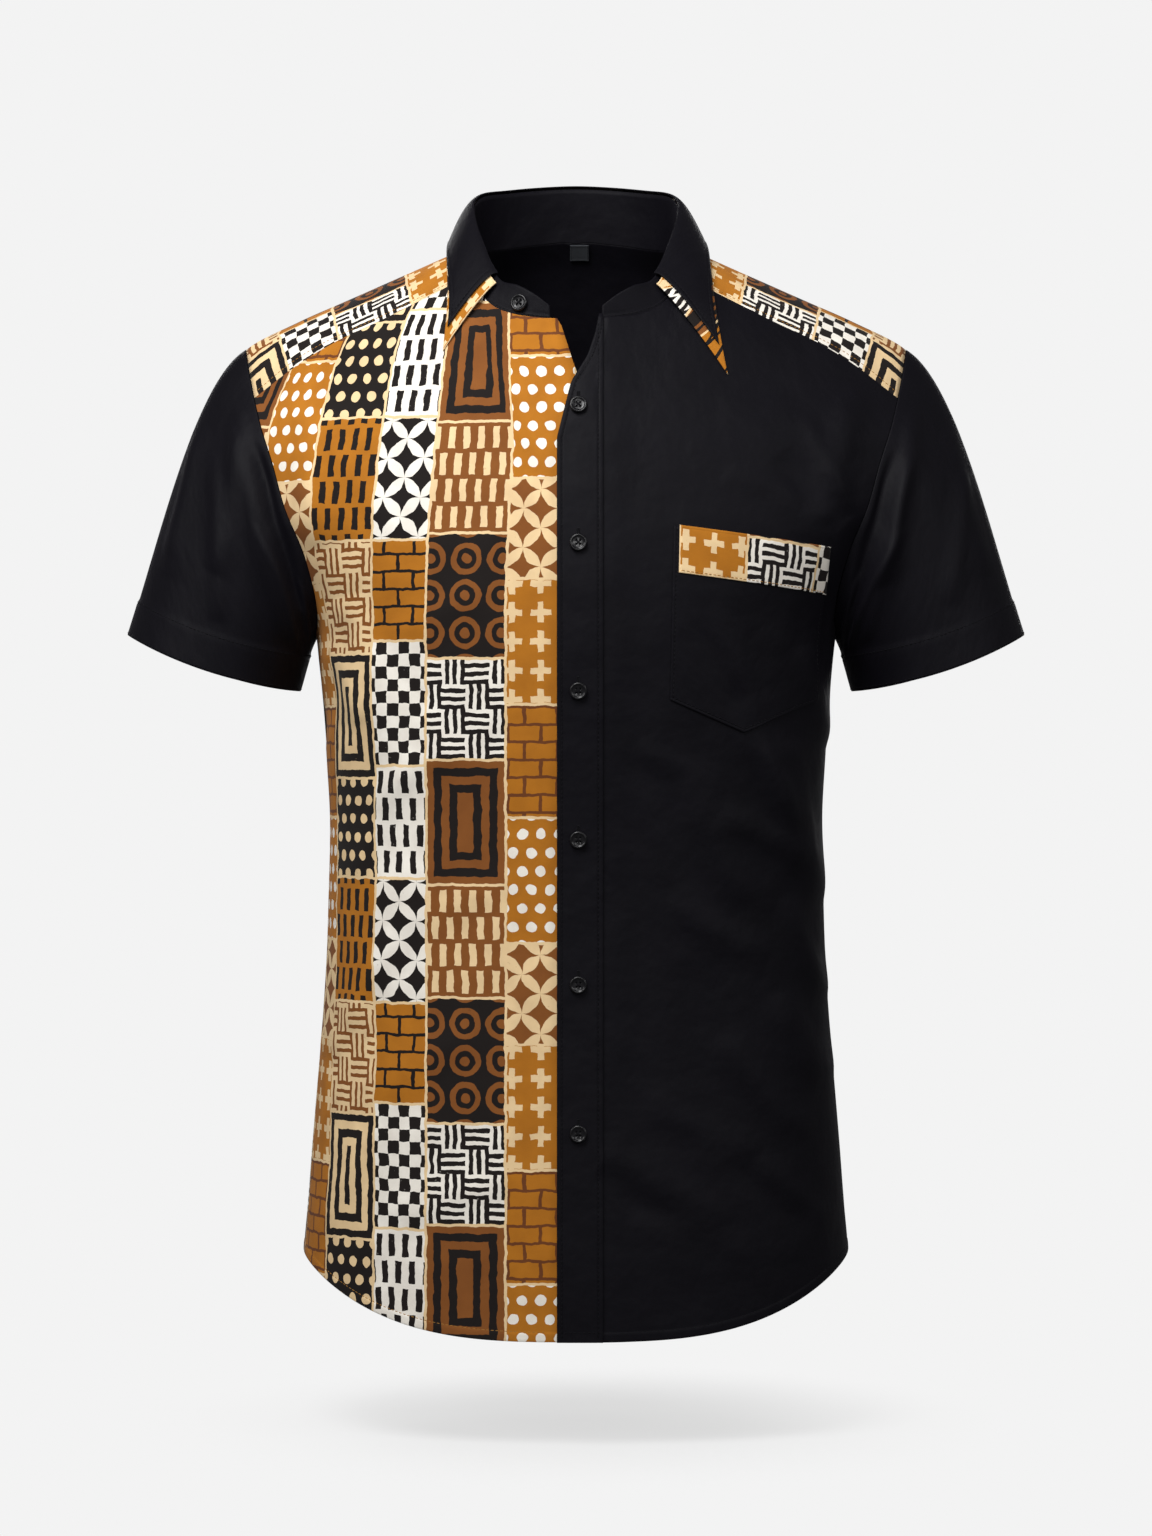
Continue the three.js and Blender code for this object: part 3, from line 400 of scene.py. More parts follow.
def fold_height(folds, x, z):
    """Height of all the folds at a point of the plane that their table is written in."""
    height = np.zeros(np.broadcast(x, z).shape)
    for x1, z1, x2, z2, bow, width, depth in folds:
        ax, az = x2 - x1, z2 - z1
        long = math.hypot(ax, az)
        t = ((x - x1) * ax + (z - z1) * az) / long**2
        off = ((x - x1) * az - (z - z1) * ax) / long - bow * 4 * t * (1 - t)
        shape = depth * np.exp(-((off / width) ** 2)) * (1 - (2 * t - 1) ** 4)
        height += np.where((t > 0) & (t < 1), shape, 0)
    return height


def under_pocket(x, z):
    foot = POCKET_FOOT_Z - POCKET_POINT
    left, right = POCKET_TOP_X
    across = smooth_step(left - POCKET_FADE, left, x) * (1 - smooth_step(right, right + POCKET_FADE, x))
    up = smooth_step(foot - POCKET_FADE, foot, z)
    return across * up * (1 - smooth_step(POCKET_TOP_Z[0], POCKET_TOP_Z[0] + POCKET_FADE, z))


def body_fold(side, x, z):
    if side == "back":
        return fold_height(BACK_FOLDS, x, z) + CREASE_DEPTH * fold_height(BACK_CREASES, x, z)
    calm = 1 - (1 - POCKET_CALM) * under_pocket(x, z)
    return fold_height(FRONT_FOLDS, x, z) * calm + CREASE_DEPTH * fold_height(FRONT_CREASES, x, z)


def body_normal(side, turn, z):
    most = 1 - NORMAL_STEP
    turn = np.clip(turn, -most, most)
    across = body_point(side, turn + NORMAL_STEP, z) - body_point(side, turn - NORMAL_STEP, z)
    up = body_point(side, turn, z + 1) - body_point(side, turn, z - 1)
    return unit(np.cross(across, up)) * -TOWARDS[side]


def cloth_point(side, turn, z, lift=0):
    """A point of the body cloth with its folds, lifted off the surface by a number of plies."""
    point = body_point(side, turn, z)
    rise = lift + body_fold(side, point[..., 0], point[..., 2])
    return point + body_normal(side, turn, z) * np.asarray(rise)[..., None]


# The neck seam and the strip seams, on the body surface, for the wearer's left half.

foot_plan = Curve(np.column_stack([COLLAR[:, 0], COLLAR[:, 1], np.zeros(len(COLLAR))]))


def neck_point(t):
    p = foot_plan(t)
    return points(p[..., 0], p[..., 1], shoulder_z(p[..., 0], p[..., 1]))


neck_line = neck_point(np.linspace(0, 1, SAMPLES + 1))


def neck_way_at_y(y):
    """Part of the way along the neck seam where it reaches y."""
    return np.interp(-y, -neck_line[:, 1], np.linspace(0, 1, SAMPLES + 1))


def armhole_point(side, z):
    return body_point(side, turn_at_x(side, z, armhole_x(z)), z)


def strip_seam(side):
    neck_y, armhole_z, sag = STRIP[side]
    start, end = neck_point(neck_way_at_y(neck_y)), armhole_point(side, armhole_z)

    def seam(t):
        t = np.asarray(t, float)
        x = mix(start[0], end[0], t)
        y = mix(start[1], end[1], t) + TOWARDS[side] * sag * np.sin(math.pi * t)
        return points(x, y, shoulder_z(x, y))

    return seam


SEAM = {"front": strip_seam("front"), "back": strip_seam("back")}


def upper_edge(side):
    """Height of a front's or the back's upper edge against x: the neck seam, then the strip seam."""
    if side == "front":
        neck = neck_line[neck_line[:, 1] < STRIP["front"][0]][::-1]
    else:
        neck = neck_line[neck_line[:, 1] > STRIP["back"][0]]
    line = np.vstack([neck, SEAM[side](np.linspace(0, 1, SAMPLES + 1))])
    return lambda x: np.interp(x, line[:, 0], line[:, 2])


UPPER = {"front": upper_edge("front"), "back": upper_edge("back")}


# Panels of the body


def column_turn(side, z, inner_x, way):
    """Turn of a panel's column; way is 0 at the inner edge and 1 at the side seam or armhole."""
    below = z <= UNDERARM_Z
    outer_x = np.where(below, half_at(z), armhole_x(z))
    x = mix(inner_x, outer_x, np.sin(way * math.pi / 2) ** COLUMN_SPREAD)
    turn = turn_at_x(side, z, x)
    return np.where(below, np.minimum(turn, turn_at_y(side, z, SEAM_GAP / 2)), turn)


def hem_z(side, turn):
    x = body_point(side, turn, HEM_LEVEL_Z)[..., 0]
    out = np.clip(np.abs(x) / half_at(HEM_LEVEL_Z), 0, 1)
    return mix(HEM_LOWEST_Z[side], HEM_SIDE_Z, out**HEM_POWER)


def panel_z(side, v, turn_at):
    """Heights along a panel's columns: hem to underarm, then underarm to the upper edge."""
    lower = mix(hem_z(side, turn_at(HEM_LEVEL_Z)), UNDERARM_Z, np.minimum(v / LOWER_PART, 1))
    top = np.full(v.shape, float(SHOULDER_TIP_Z))
    for _ in range(HALVINGS):
        x = np.abs(body_point(side, turn_at(top), top)[..., 0])
        top = (top + UPPER[side](x) - SEAM_GAP) / 2
    part = np.clip((v - LOWER_PART) / (1 - LOWER_PART), 0, 1)
    upper = mix(UNDERARM_Z, top, (part + (1 - np.cos(math.pi * part)) / 2) / 2)
    return np.where(v <= LOWER_PART, lower, upper)


def front_panel(u, v, hand, edge_x, lift):
    def turn_at(z):
        return column_turn("front", z, hand * edge_x(z), u)

    z = panel_z("front", v, turn_at)
    turn = hand * turn_at(z)
    return cloth_point("front", turn, z, lift(body_point("front", turn, z)[..., 0]))


def right_front(u, v):
    return front_panel(u, v, -1, right_edge_x, lambda x: 0 * x)


def left_front(u, v):
    def lift(x):
        return LAYER * (1 - smooth_step(OVERLAP_FROM_X, OVERLAP_TO_X, x))

    return front_panel(u, v, 1, lambda z: left_edge_x(z) + PLACKET_OVERHANG, lift)


def front_at_x(x, z, lift):
    return cloth_point("front", turn_at_x("front", z, x), z, lift)


def placket(u, v):
    z = mix(hem_z("front", 0.0), PLACKET_TOP_Z, v)
    return front_at_x(mix(left_edge_x(z), PLACKET_OUTER_X, u), z, 2 * LAYER)


def back(u, v):
    way = 2 * u - 1

    def turn_at(z):
        return np.sign(way) * column_turn("back", z, 0, np.abs(way))

    z = panel_z("back", v, turn_at)
    return cloth_point("back", turn_at(z), z)


# Shoulder strips


def armhole_upper(v):
    part = np.abs(2 * v - 1) ** STRIP_CROWDING
    front = armhole_point("front", mix(SHOULDER_TIP_Z, STRIP["front"][1], part))
    behind = armhole_point("back", mix(SHOULDER_TIP_Z, STRIP["back"][1], part))
    return np.where((v < 0.5)[..., None], front, behind)


def neck_upper(v):
    return neck_point(mix(neck_way_at_y(STRIP["front"][0]), neck_way_at_y(STRIP["back"][0]), v))


def shoulder_strip(u, v):
    a, b = u[..., None], v[..., None]
    ends = [np.zeros_like(v), np.ones_like(v)]
    sides = mix(neck_upper(v), armhole_upper(v), a)
    seams = mix(SEAM["front"](u), SEAM["back"](u), b)
    corners = mix(
        mix(neck_upper(ends[0]), armhole_upper(ends[0]), a),
        mix(neck_upper(ends[1]), armhole_upper(ends[1]), a),
        b,
    )
    p = sides + seams - corners
    return points(p[..., 0], p[..., 1], shoulder_z(p[..., 0], p[..., 1]))


# Sleeves. The way round runs from the shoulder tip down the front to the underarm and back up.


def armhole_half(side):
    part = (1 - np.cos(math.pi * np.linspace(0, 1, SAMPLES + 1))) / 2
    line = armhole_point(side, mix(SHOULDER_TIP_Z, UNDERARM_Z, part))
    run = np.concatenate([[0], np.cumsum(np.linalg.norm(np.diff(line, axis=0), axis=1))])
    return lambda way: np.stack([np.interp(way * run[-1], run, line[:, k]) for k in range(3)], -1)


ARMHOLE_WAY = {"front": armhole_half("front"), "back": armhole_half("back")}


def armhole_round(way):
    front, behind = ARMHOLE_WAY["front"](2 * way), ARMHOLE_WAY["back"](2 - 2 * way)
    return np.where((way <= 0.5)[..., None], front, behind)


def cuff_round(way):
    angle = 2 * math.pi * way
    out = CUFF_WIDE * np.cos(angle)
    return points(
        CUFF_X + CUFF_LEAN[0] * out,
        -CUFF_DEEP * np.sin(angle),
        CUFF_Z + CUFF_LEAN[1] * out - CUFF_DIP * np.sin(angle) ** 2,
    )


def plain_sleeve(way, along):
    start = armhole_round(way) + np.array([SLEEVE_CLEAR, 0, 0])
    end = cuff_round(way)
    long = np.linalg.norm(end - start, axis=-1, keepdims=True)
    under = ((1 - np.cos(2 * math.pi * way)) / 2)[..., None]
    leave = mix(SLEEVE_LEAVES_TOP, SLEEVE_LEAVES_UNDER, under) * long * SLEEVE_PULLS[0]
    arrive = np.array([CUFF_LEAN[1], 0, -CUFF_LEAN[0]]) * long * SLEEVE_PULLS[1]
    return hermite(start, leave, end, arrive, along[..., None])


def sleeve_lift(way, along, creases):
    across = np.where(way > 0.5, way - 1, way) * SLEEVE_ROUND
    down = along * SLEEVE_LONG
    long = np.linalg.norm(armhole_round(way) - cuff_round(way), axis=-1)
    above = (along - 1) * long + SLEEVE_HEM
    hem = smooth_step(-SLEEVE_HEM_SOFT, SLEEVE_HEM_SOFT, above)
    full_from, full_to = SLEEVE_FOLDS_FULL
    calm = smooth_step(0, full_from, along) * (1 - smooth_step(full_to, 1, along))
    folds = fold_height(SLEEVE_FOLDS, across, down) + CREASE_DEPTH * fold_height(creases, across, down)
    return folds * calm + hem * SLEEVE_HEM_PROUD


def sleeve(way, along, creases):
    step = NORMAL_STEP
    way = way % 1
    across = plain_sleeve((way + step) % 1, along) - plain_sleeve((way + 1 - step) % 1, along)
    near, far = np.maximum(0, along - step), np.minimum(1, along + step)
    normal = unit(np.cross(across, plain_sleeve(way, far) - plain_sleeve(way, near)))
    return plain_sleeve(way, along) + normal * sleeve_lift(way, along, creases)[..., None]


# Collar. A place round it is a row of the table, negative on the wearer's right.


def round_the_neck(x, y, z):
    half = np.column_stack([x, y, z])
    curve = Curve(np.vstack([half[:0:-1] * [-1, 1, 1], half]))
    return lambda place: curve((np.asarray(place) + LAST_ROW) / (2 * LAST_ROW))


fold_line = round_the_neck(COLLAR[:, 2], COLLAR[:, 3], COLLAR[:, 4])
leaf_plan = round_the_neck(COLLAR[:, 5], COLLAR[:, 6], np.zeros(len(COLLAR)))


def foot_point(place):
    p = neck_point(np.abs(place) / LAST_ROW)
    return p * points(np.where(place < 0, -1, 1), 1, 1) + np.array([0, 0, FOOT_CLEAR])


def stand_point(place, rise):
    return mix(foot_point(place), fold_line(place), rise[..., None])


def leaf_edge(place):
    p = leaf_plan(np.minimum(place, LEAF_LAST - JUST_SHORT))
    spread = np.where(place > 0, (np.abs(place) / LEAF_LAST) ** 3, 0)
    x, y = p[..., 0] + LEAF_SPREAD[0] * spread, p[..., 1] + LEAF_SPREAD[1] * spread
    return points(x, y, np.minimum(shoulder_z(x, y), LEAF_HIGHEST_Z) + LEAF_REST)


def leaf_point(place, down, lift):
    fold = fold_line(place) + np.array([0, 0, FOLD_CLEAR])
    edge = leaf_edge(place)
    away = unit((edge - fold) * [1, 1, 0])
    rolled = fold + away * LEAF_ROLL + np.array([0, 0, LEAF_RISE])
    full = mix(edge, fold, LEAF_FULL_AT) + away * LEAF_BULGE
    t = down[..., None]
    s = 1 - t
    point = s**3 * fold + 3 * s * s * t * rolled + 3 * s * t * t * full + t**3 * edge
    tangent = s * s * (rolled - fold) + 2 * s * t * (full - rolled) + t * t * (edge - full)
    along = fold_line(np.minimum(LAST_ROW, place + PLACE_STEP)) - fold_line(place - PLACE_STEP)
    return point - unit(np.cross(tangent, along)) * np.asarray(lift)[..., None]


# Pocket and its band


def pocket_x(u, v):
    left, right = (mix(POCKET_FOOT_X[k], POCKET_TOP_X[k], v) for k in (0, 1))
    return mix(left, right, u)


def pocket_point(u, v, lift):
    foot = POCKET_FOOT_Z - POCKET_POINT * (1 - np.abs(2 * u - 1))
    return front_at_x(pocket_x(u, v), mix(foot, mix(*POCKET_TOP_Z, u), v), lift)


def band_point(u, v, lift):
    up = 1 - (1 - v) * BAND_DEPTH / (POCKET_TOP_Z[0] - POCKET_FOOT_Z)
    x = mix(pocket_x(0, up) + BAND_INSET, pocket_x(1, up), u)
    return front_at_x(x, mix(*POCKET_TOP_Z, u) - BAND_DEPTH * (1 - v), lift)


# Shading: a field is a number at every point of a surface, worked out by Math nodes.


class Field:
    def __init__(self, tree, socket):
        self.tree, self.socket = tree, socket

    def math(self, operation, *others):
        node = self.tree.nodes.new("ShaderNodeMath")
        node.operation = operation
        for i, value in enumerate((self, *others)):
            if isinstance(value, Field):
                self.tree.links.new(value.socket, node.inputs[i])
            else:
                node.inputs[i].default_value = value
        return Field(self.tree, node.outputs[0])

    def one_less(self):
        return self.math("MULTIPLY_ADD", -1.0, 1.0)

    def cell(self, pitch):
        """The distance from the middle of the cell of that pitch that the point is in."""
        return (self + pitch / 2) % pitch - pitch / 2

    def stripe(self, pitch, share):
        """1 on stripes that take up that share of each pitch."""
        return (self % pitch) < pitch * share

    def odd(self, pitch):
        """1 in every second cell of that pitch."""
        return (self / pitch).floor() % 2


def by_node(operation):
    return lambda field, *others: field.math(operation, *others)


for method, operation in {
    "__add__": "ADD", "__radd__": "ADD", "__sub__": "SUBTRACT", "__mul__": "MULTIPLY",
    "__truediv__": "DIVIDE", "__mod__": "FLOORED_MODULO", "__lt__": "LESS_THAN",
    "__gt__": "GREATER_THAN", "__abs__": "ABSOLUTE", "floor": "FLOOR", "least": "MINIMUM",
    "most": "MAXIMUM", "sine": "SINE", "root": "SQRT",
}.items():
    setattr(Field, method, by_node(operation))


def coordinates(tree, source):
    """The cloth's flat coordinates in millimetres, or the object's own ones in metres."""
    if source == "Object":
        return tree.nodes.new("ShaderNodeTexCoord").outputs["Object"]
    node = tree.nodes.new("ShaderNodeUVMap")
    node.uv_map = "flat"
    return node.outputs["UV"]


def plane_fields(tree, source="UV"):
    split = tree.nodes.new("ShaderNodeSeparateXYZ")
    tree.links.new(coordinates(tree, source), split.inputs[0])
    return Field(tree, split.outputs["X"]), Field(tree, split.outputs["Y"])


def noise_field(tree, scale, detail=2, source="UV", stretch=(1, 1, 1)):
    """Smooth noise from 0 to 1; scale is in cells a millimetre of flat cloth, or a metre in space."""
    place = tree.nodes.new("ShaderNodeMapping")
    place.inputs["Scale"].default_value = stretch
    noise = tree.nodes.new("ShaderNodeTexNoise")
    noise.inputs["Scale"].default_value = scale
    noise.inputs["Detail"].default_value = detail
    tree.links.new(coordinates(tree, source), place.inputs["Vector"])
    tree.links.new(place.outputs["Vector"], noise.inputs["Vector"])
    return Field(tree, noise.outputs["Fac"])


def blend_colour(tree, factor, a, b, kind="MIX"):
    node = tree.nodes.new("ShaderNodeMix")
    node.data_type = "RGBA"
    node.blend_type = kind
    tree.links.new(factor.socket, node.inputs["Factor"])
    for name, value in (("A", a), ("B", b)):
        socket = next(s for s in node.inputs if s.name == name and s.type == "RGBA")
        if isinstance(value, tuple):
            socket.default_value = (*value, 1)
        else:
            tree.links.new(value, socket)
    return next(s for s in node.outputs if s.type == "RGBA")


def ramp(tree, factor, colours):
    """A colour for each whole number, picked by a factor of number / count."""
    node = tree.nodes.new("ShaderNodeValToRGB")
    node.color_ramp.interpolation = "CONSTANT"
    elements = node.color_ramp.elements
    while len(elements) < len(colours):
        elements.new(1)
    for i, colour in enumerate(colours):
        elements[i].position = i / len(colours)
        elements[i].color = (*colour, 1)
    tree.links.new(factor.socket, node.inputs["Fac"])
    return node.outputs["Color"]


def srgb(r, g, b):
    """Linear colour of an 8-bit one."""
    return tuple(((v / 255 + 0.055) / 1.055) ** 2.4 if v > 10 else v / 255 / 12.92 for v in (r, g, b))


BLACK_DARK, BLACK_PALE = srgb(4, 4, 6), srgb(18, 16, 23)
INK = srgb(26, 20, 18)
OCHRE = srgb(180, 113, 27)
BROWN = srgb(134, 80, 34)
CREAM = srgb(238, 208, 160)
IVORY = srgb(246, 241, 230)
RUST = srgb(110, 62, 30)

# The print: a generic patchwork of tiles with plain geometric fillings, in columns of uneven
# width. A column is (where it starts, how far its tiles are shifted); heights are in TILE_ROWS.
TILE_REPEAT = (188, 304)
TILE_COLUMNS = ((0, 0), (46, 118), (100, 40), (140, 196))
TILE_ROWS = (0, 82, 148, 230)
TILE_BORDER = 0.9
TILE_WOBBLE = 3.2
# Filling, paper colour and ink colour of each tile, column by column.
TILES = (
    ("crosses", OCHRE, CREAM), ("petals", BROWN, CREAM), ("dots", OCHRE, IVORY), ("bricks", OCHRE, RUST),
    ("nested", INK, BROWN), ("basket", IVORY, INK), ("rings", INK, BROWN), ("dashes", BROWN, CREAM),
    ("checks", IVORY, INK), ("bricks", OCHRE, INK), ("petals", INK, IVORY), ("dashes", IVORY, INK),
    ("dashes", OCHRE, INK), ("dots", INK, CREAM), ("nested", CREAM, INK), ("basket", BROWN, CREAM),
)
# Fillings, in millimetres before MOTIF_SCALE; a disc is given by the square of its radius.
MOTIF_SCALE = 1.35
CROSS_PITCH, CROSS_THICK, CROSS_REACH = 14, 1.5, 5
DOT_PITCH, DOT_DISC = 9, 6.8
PETAL_PITCH, PETAL_DISC = 19, 90
RING_PITCH, RING_OUTER, RING_INNER, RING_CORE = 18, 7.8, 5, 2.4
BASKET_CELL, CANES = 12, (4, 0.55)
BRICK_LONG, BRICK_HIGH, BRICK_REACH, MORTAR = 16, 8.5, 7.1, 1.4
DASH_ACROSS, DASH_ALONG, DASH_THICK, DASH_REACH = 7.6, 13, 1.7, 5.4
CHECK_CELL = 6
NEST = (8.0, 0.5)


def tile_fillings(x, y, to_edge):
    """Where each filling puts its ink; x and y are millimetres from the tile's middle."""
    x, y, to_edge = x / MOTIF_SCALE, y / MOTIF_SCALE, to_edge / MOTIF_SCALE
    cross_x, cross_y = abs(x.cell(CROSS_PITCH)), abs(y.cell(CROSS_PITCH))
    dot_x = (x + y.odd(DOT_PITCH) * (DOT_PITCH / 2)).cell(DOT_PITCH)
    dot_y = (y - DOT_PITCH / 2).cell(DOT_PITCH)
    petal_x, petal_y = abs(x.cell(PETAL_PITCH)), abs(y.cell(PETAL_PITCH))
    off_x, off_y = petal_x - PETAL_PITCH / 2, petal_y - PETAL_PITCH / 2
    ring_x, ring_y = x.cell(RING_PITCH), y.cell(RING_PITCH)
    radius = (ring_x * ring_x + ring_y * ring_y).root()
    over = (x.odd(BASKET_CELL) + y.odd(BASKET_CELL)) % 2
    joint = abs((x + y.odd(BRICK_HIGH) * (BRICK_LONG / 2)).cell(BRICK_LONG)) > BRICK_REACH
    dash_x = abs((x + y.odd(DASH_ALONG) * (DASH_ACROSS / 2)).cell(DASH_ACROSS)) < DASH_THICK
    return {
        "crosses": (cross_x.least(cross_y) < CROSS_THICK) * (cross_x.most(cross_y) < CROSS_REACH),
        "dots": (dot_x * dot_x + dot_y * dot_y) < DOT_DISC,
        "petals": ((off_x * off_x + petal_y * petal_y) < PETAL_DISC)
        * ((petal_x * petal_x + off_y * off_y) < PETAL_DISC),
        "rings": (radius < RING_OUTER) * (radius > RING_INNER) + (radius < RING_CORE),
        "basket": over * x.stripe(*CANES) + over.one_less() * y.stripe(*CANES),
        "bricks": joint.most((y % BRICK_HIGH) < MORTAR),
        "dashes": dash_x * (abs((y - DASH_ALONG / 2).cell(DASH_ALONG)) < DASH_REACH),
        "checks": (x.odd(CHECK_CELL) + y.odd(CHECK_CELL)) % 2,
        "nested": to_edge.stripe(*NEST),
    }


def part_fields(place, *tables):
    """The number of the part that a place is in, and what each table says of that part.

    The first table is where the parts start.
    """
    number, read = 0, [table[0] for table in tables]
    for i in range(1, len(tables[0])):
        here = place > tables[0][i]
        number = number + here
        read = [value + here * (table[i] - table[i - 1]) for value, table in zip(read, tables)]
    return (number, *read)


def printed_colour(tree):
    s, t = plane_fields(tree)
    wobble = noise_field(tree, 0.12)
    shake = noise_field(tree, 0.09, stretch=(1.3, 0.8, 1))
    s, t = s + (wobble - 0.5) * TILE_WOBBLE, t + (shake - 0.5) * TILE_WOBBLE
    s = s % TILE_REPEAT[0]
    starts, shifts = zip(*TILE_COLUMNS)
    column, start, end, shift = part_fields(s, starts, (*starts[1:], TILE_REPEAT[0]), shifts)
    t = (t + shift) % TILE_REPEAT[1]
    row, foot, top = part_fields(t, TILE_ROWS, (*TILE_ROWS[1:], TILE_REPEAT[1]))
    to_edge = ((s - start).least(end - s)).least((t - foot).least(top - t))
    fillings = tile_fillings(s - (start + end) * 0.5, t - (foot + top) * 0.5, to_edge)
    number = (column * len(TILE_ROWS) + row + 0.5) / len(TILES)
    names = list(dict.fromkeys(tile[0] for tile in TILES))
    kinds = ramp(tree, number, [(names.index(tile[0]) / len(TILES),) * 3 for tile in TILES])
    kind = Field(tree, kinds) * len(TILES)
    ink = 0
    for i, name in enumerate(names):
        ink = ink + fillings[name] * kind.math("COMPARE", float(i), 0.3)
    patchy = noise_field(tree, 0.35, 3)
    ink = ink.least(1) * (patchy > 0.3).most(0.82)
    paper, over = (ramp(tree, number, [tile[k] for tile in TILES]) for k in (1, 2))
    colour = blend_colour(tree, ink, paper, over)
    colour = blend_colour(tree, to_edge < TILE_BORDER, colour, CREAM)
    shade = (noise_field(tree, 0.05, 4) - 0.5) * 0.5 + 0.12
    return blend_colour(tree, shade.most(0), colour, RUST, "MULTIPLY")


WEAVE_PITCH, WEAVE_DEPTH, SLUB_DEPTH = 0.62, 0.02, 0.03
RIB_PITCH = 0.35


def bump(tree, height, distance):
    node = tree.nodes.new("ShaderNodeBump")
    node.inputs["Distance"].default_value = distance * MM
    tree.links.new(height.socket, node.inputs["Height"])
    return node.outputs["Normal"]


def cloth_bump(tree, crumple_depth):
    """A plain weave, slubs and a slight crumple, as one bump."""
    s, t = plane_fields(tree)
    turn = 2 * math.pi / WEAVE_PITCH
    threads = (s * turn).sine() * (t * turn).sine()
    slubs = noise_field(tree, 0.9, stretch=(0.25, 1, 1)) + noise_field(tree, 0.9, stretch=(1, 0.25, 1))
    crumple = noise_field(tree, 0.028, 3)
    return bump(tree, threads * WEAVE_DEPTH + slubs * SLUB_DEPTH + crumple * crumple_depth, 1)


def new_material(name, constants):
    """A material, its nodes and its shader, with the constants on the shader's own sockets."""
    material = bpy.data.materials.new(name)
    material.use_nodes = True
    shader = material.node_tree.nodes["Principled BSDF"]
    for socket, value in constants.items():
        shader.inputs[socket].default_value = value
    return material, material.node_tree, shader


def feed(tree, shader, colour, roughness, normal=None):
    """Links what varies over the surface to the shader."""
    tree.links.new(colour, shader.inputs["Base Color"])
    tree.links.new(roughness.socket, shader.inputs["Roughness"])
    if normal:
        tree.links.new(normal, shader.inputs["Normal"])


def black_cotton():
    sheen = {"Sheen Weight": 0.015, "Sheen Roughness": 0.4, "Sheen Tint": (0.86, 0.8, 1, 1)}
    material, tree, shader = new_material("black_cotton", {**sheen, "Specular IOR Level": 0.09})
    worn = noise_field(tree, 0.02, 4)
    fine = noise_field(tree, 1.4, stretch=(0.3, 1, 1))
    colour = blend_colour(tree, worn * 0.4 + fine * 0.6, BLACK_DARK, BLACK_PALE)
    feed(tree, shader, colour, worn * 0.12 + 0.5, cloth_bump(tree, 2.2))
    return material


def print_cotton():
    constants = {"Sheen Weight": 0.04, "Specular IOR Level": 0.2}
    material, tree, shader = new_material("print_cotton", constants)
    worn = noise_field(tree, 0.02, 3)
    feed(tree, shader, printed_colour(tree), worn * 0.1 + 0.8, cloth_bump(tree, 0.8))
    return material


def thread(name, dark, pale):
    material, tree, shader = new_material(name, {"Sheen Weight": 0.02, "Specular IOR Level": 0.1})
    twist = noise_field(tree, 2600, source="Object")
    feed(tree, shader, blend_colour(tree, twist, dark, pale), twist * 0.2 + 0.6)
    return material


def button_plastic():
    constants = {"Specular IOR Level": 0.3, "Coat Weight": 0.15, "Coat Roughness": 0.15}
    material, tree, shader = new_material("button_plastic", constants)
    cloud = noise_field(tree, 260, 4, source="Object")
    colour = blend_colour(tree, cloud, srgb(6, 6, 8), srgb(20, 19, 22))
    feed(tree, shader, colour, cloud * 0.16 + 0.2, bump(tree, cloud, 0.03))
    return material


def label_cloth():
    material, tree, shader = new_material("label_cloth", {})
    along = plane_fields(tree)[1]
    ribs = (along * (2 * math.pi / RIB_PITCH)).sine() * 0.5 + 0.5
    worn = noise_field(tree, 0.5, 3)
    colour = blend_colour(tree, ribs * 0.5 + worn * 0.5, srgb(14, 15, 18), srgb(46, 50, 56))
    feed(tree, shader, colour, worn * 0.2 + 0.6, bump(tree, ribs, 0.05))
    return material


def build_materials():
    return {
        "black_cotton": black_cotton(),
        "print_cotton": print_cotton(),
        "black_thread": thread("black_thread", srgb(6, 6, 8), srgb(20, 19, 24)),
        "ochre_thread": thread("ochre_thread", srgb(120, 76, 24), srgb(190, 140, 70)),
        "button": button_plastic(),
        "label_cloth": label_cloth(),
    }


# Meshes


def linked(name, data):
    obj = bpy.data.objects.new(name, data)
    bpy.context.scene.collection.objects.link(obj)
    return obj


def new_mesh(name, vertices, faces):
    """A smooth mesh of points in millimetres."""
    mesh = bpy.data.meshes.new(name)
    mesh.from_pydata((np.asarray(vertices) * MM).tolist(), [], [list(face) for face in faces])
    mesh.validate()
    mesh.shade_smooth()
    return mesh


def joined(parts):
    """The vertices and faces of one mesh made of several."""
    vertices, faces = [], []
    for more, new in parts:
        faces += [tuple(i + len(vertices) for i in face) for face in new]
        vertices += more
    return np.array(vertices), faces


def circle(radius, sides, height):
    angles = [2 * math.pi * k / sides for k in range(sides)]
    return [(radius * math.cos(a), radius * math.sin(a), height) for a in angles]


def ring_faces(rings, sides, first=0):
    """Quads between rings of vertices that follow one another."""
    starts = [(first + r * sides, k, (k + 1) % sides) for r in range(rings - 1) for k in range(sides)]
    return [(s + a, s + b, s + b + sides, s + a + sides) for s, a, b in starts]


def tube_faces(rings, sides):
    """The same with both ends closed."""
    last = (rings - 1) * sides
    ends = [tuple(reversed(range(sides))), tuple(last + k for k in range(sides))]
    return ring_faces(rings, sides) + ends


def lathe(profile, sides):
    """Vertices and faces of a round form about +Z; the profile starts and ends on the axis."""
    rings = [circle(radius, sides, height) for radius, height in profile[1:-1]]
    vertices = [(0, 0, profile[0][1]), *sum(rings, []), (0, 0, profile[-1][1])]
    last = len(vertices) - 1
    faces = ring_faces(len(rings), sides, 1)
    for k in range(sides):
        after = (k + 1) % sides
        faces += [(0, 1 + after, 1 + k), (last - sides + k, last - sides + after, last)]
    return vertices, faces


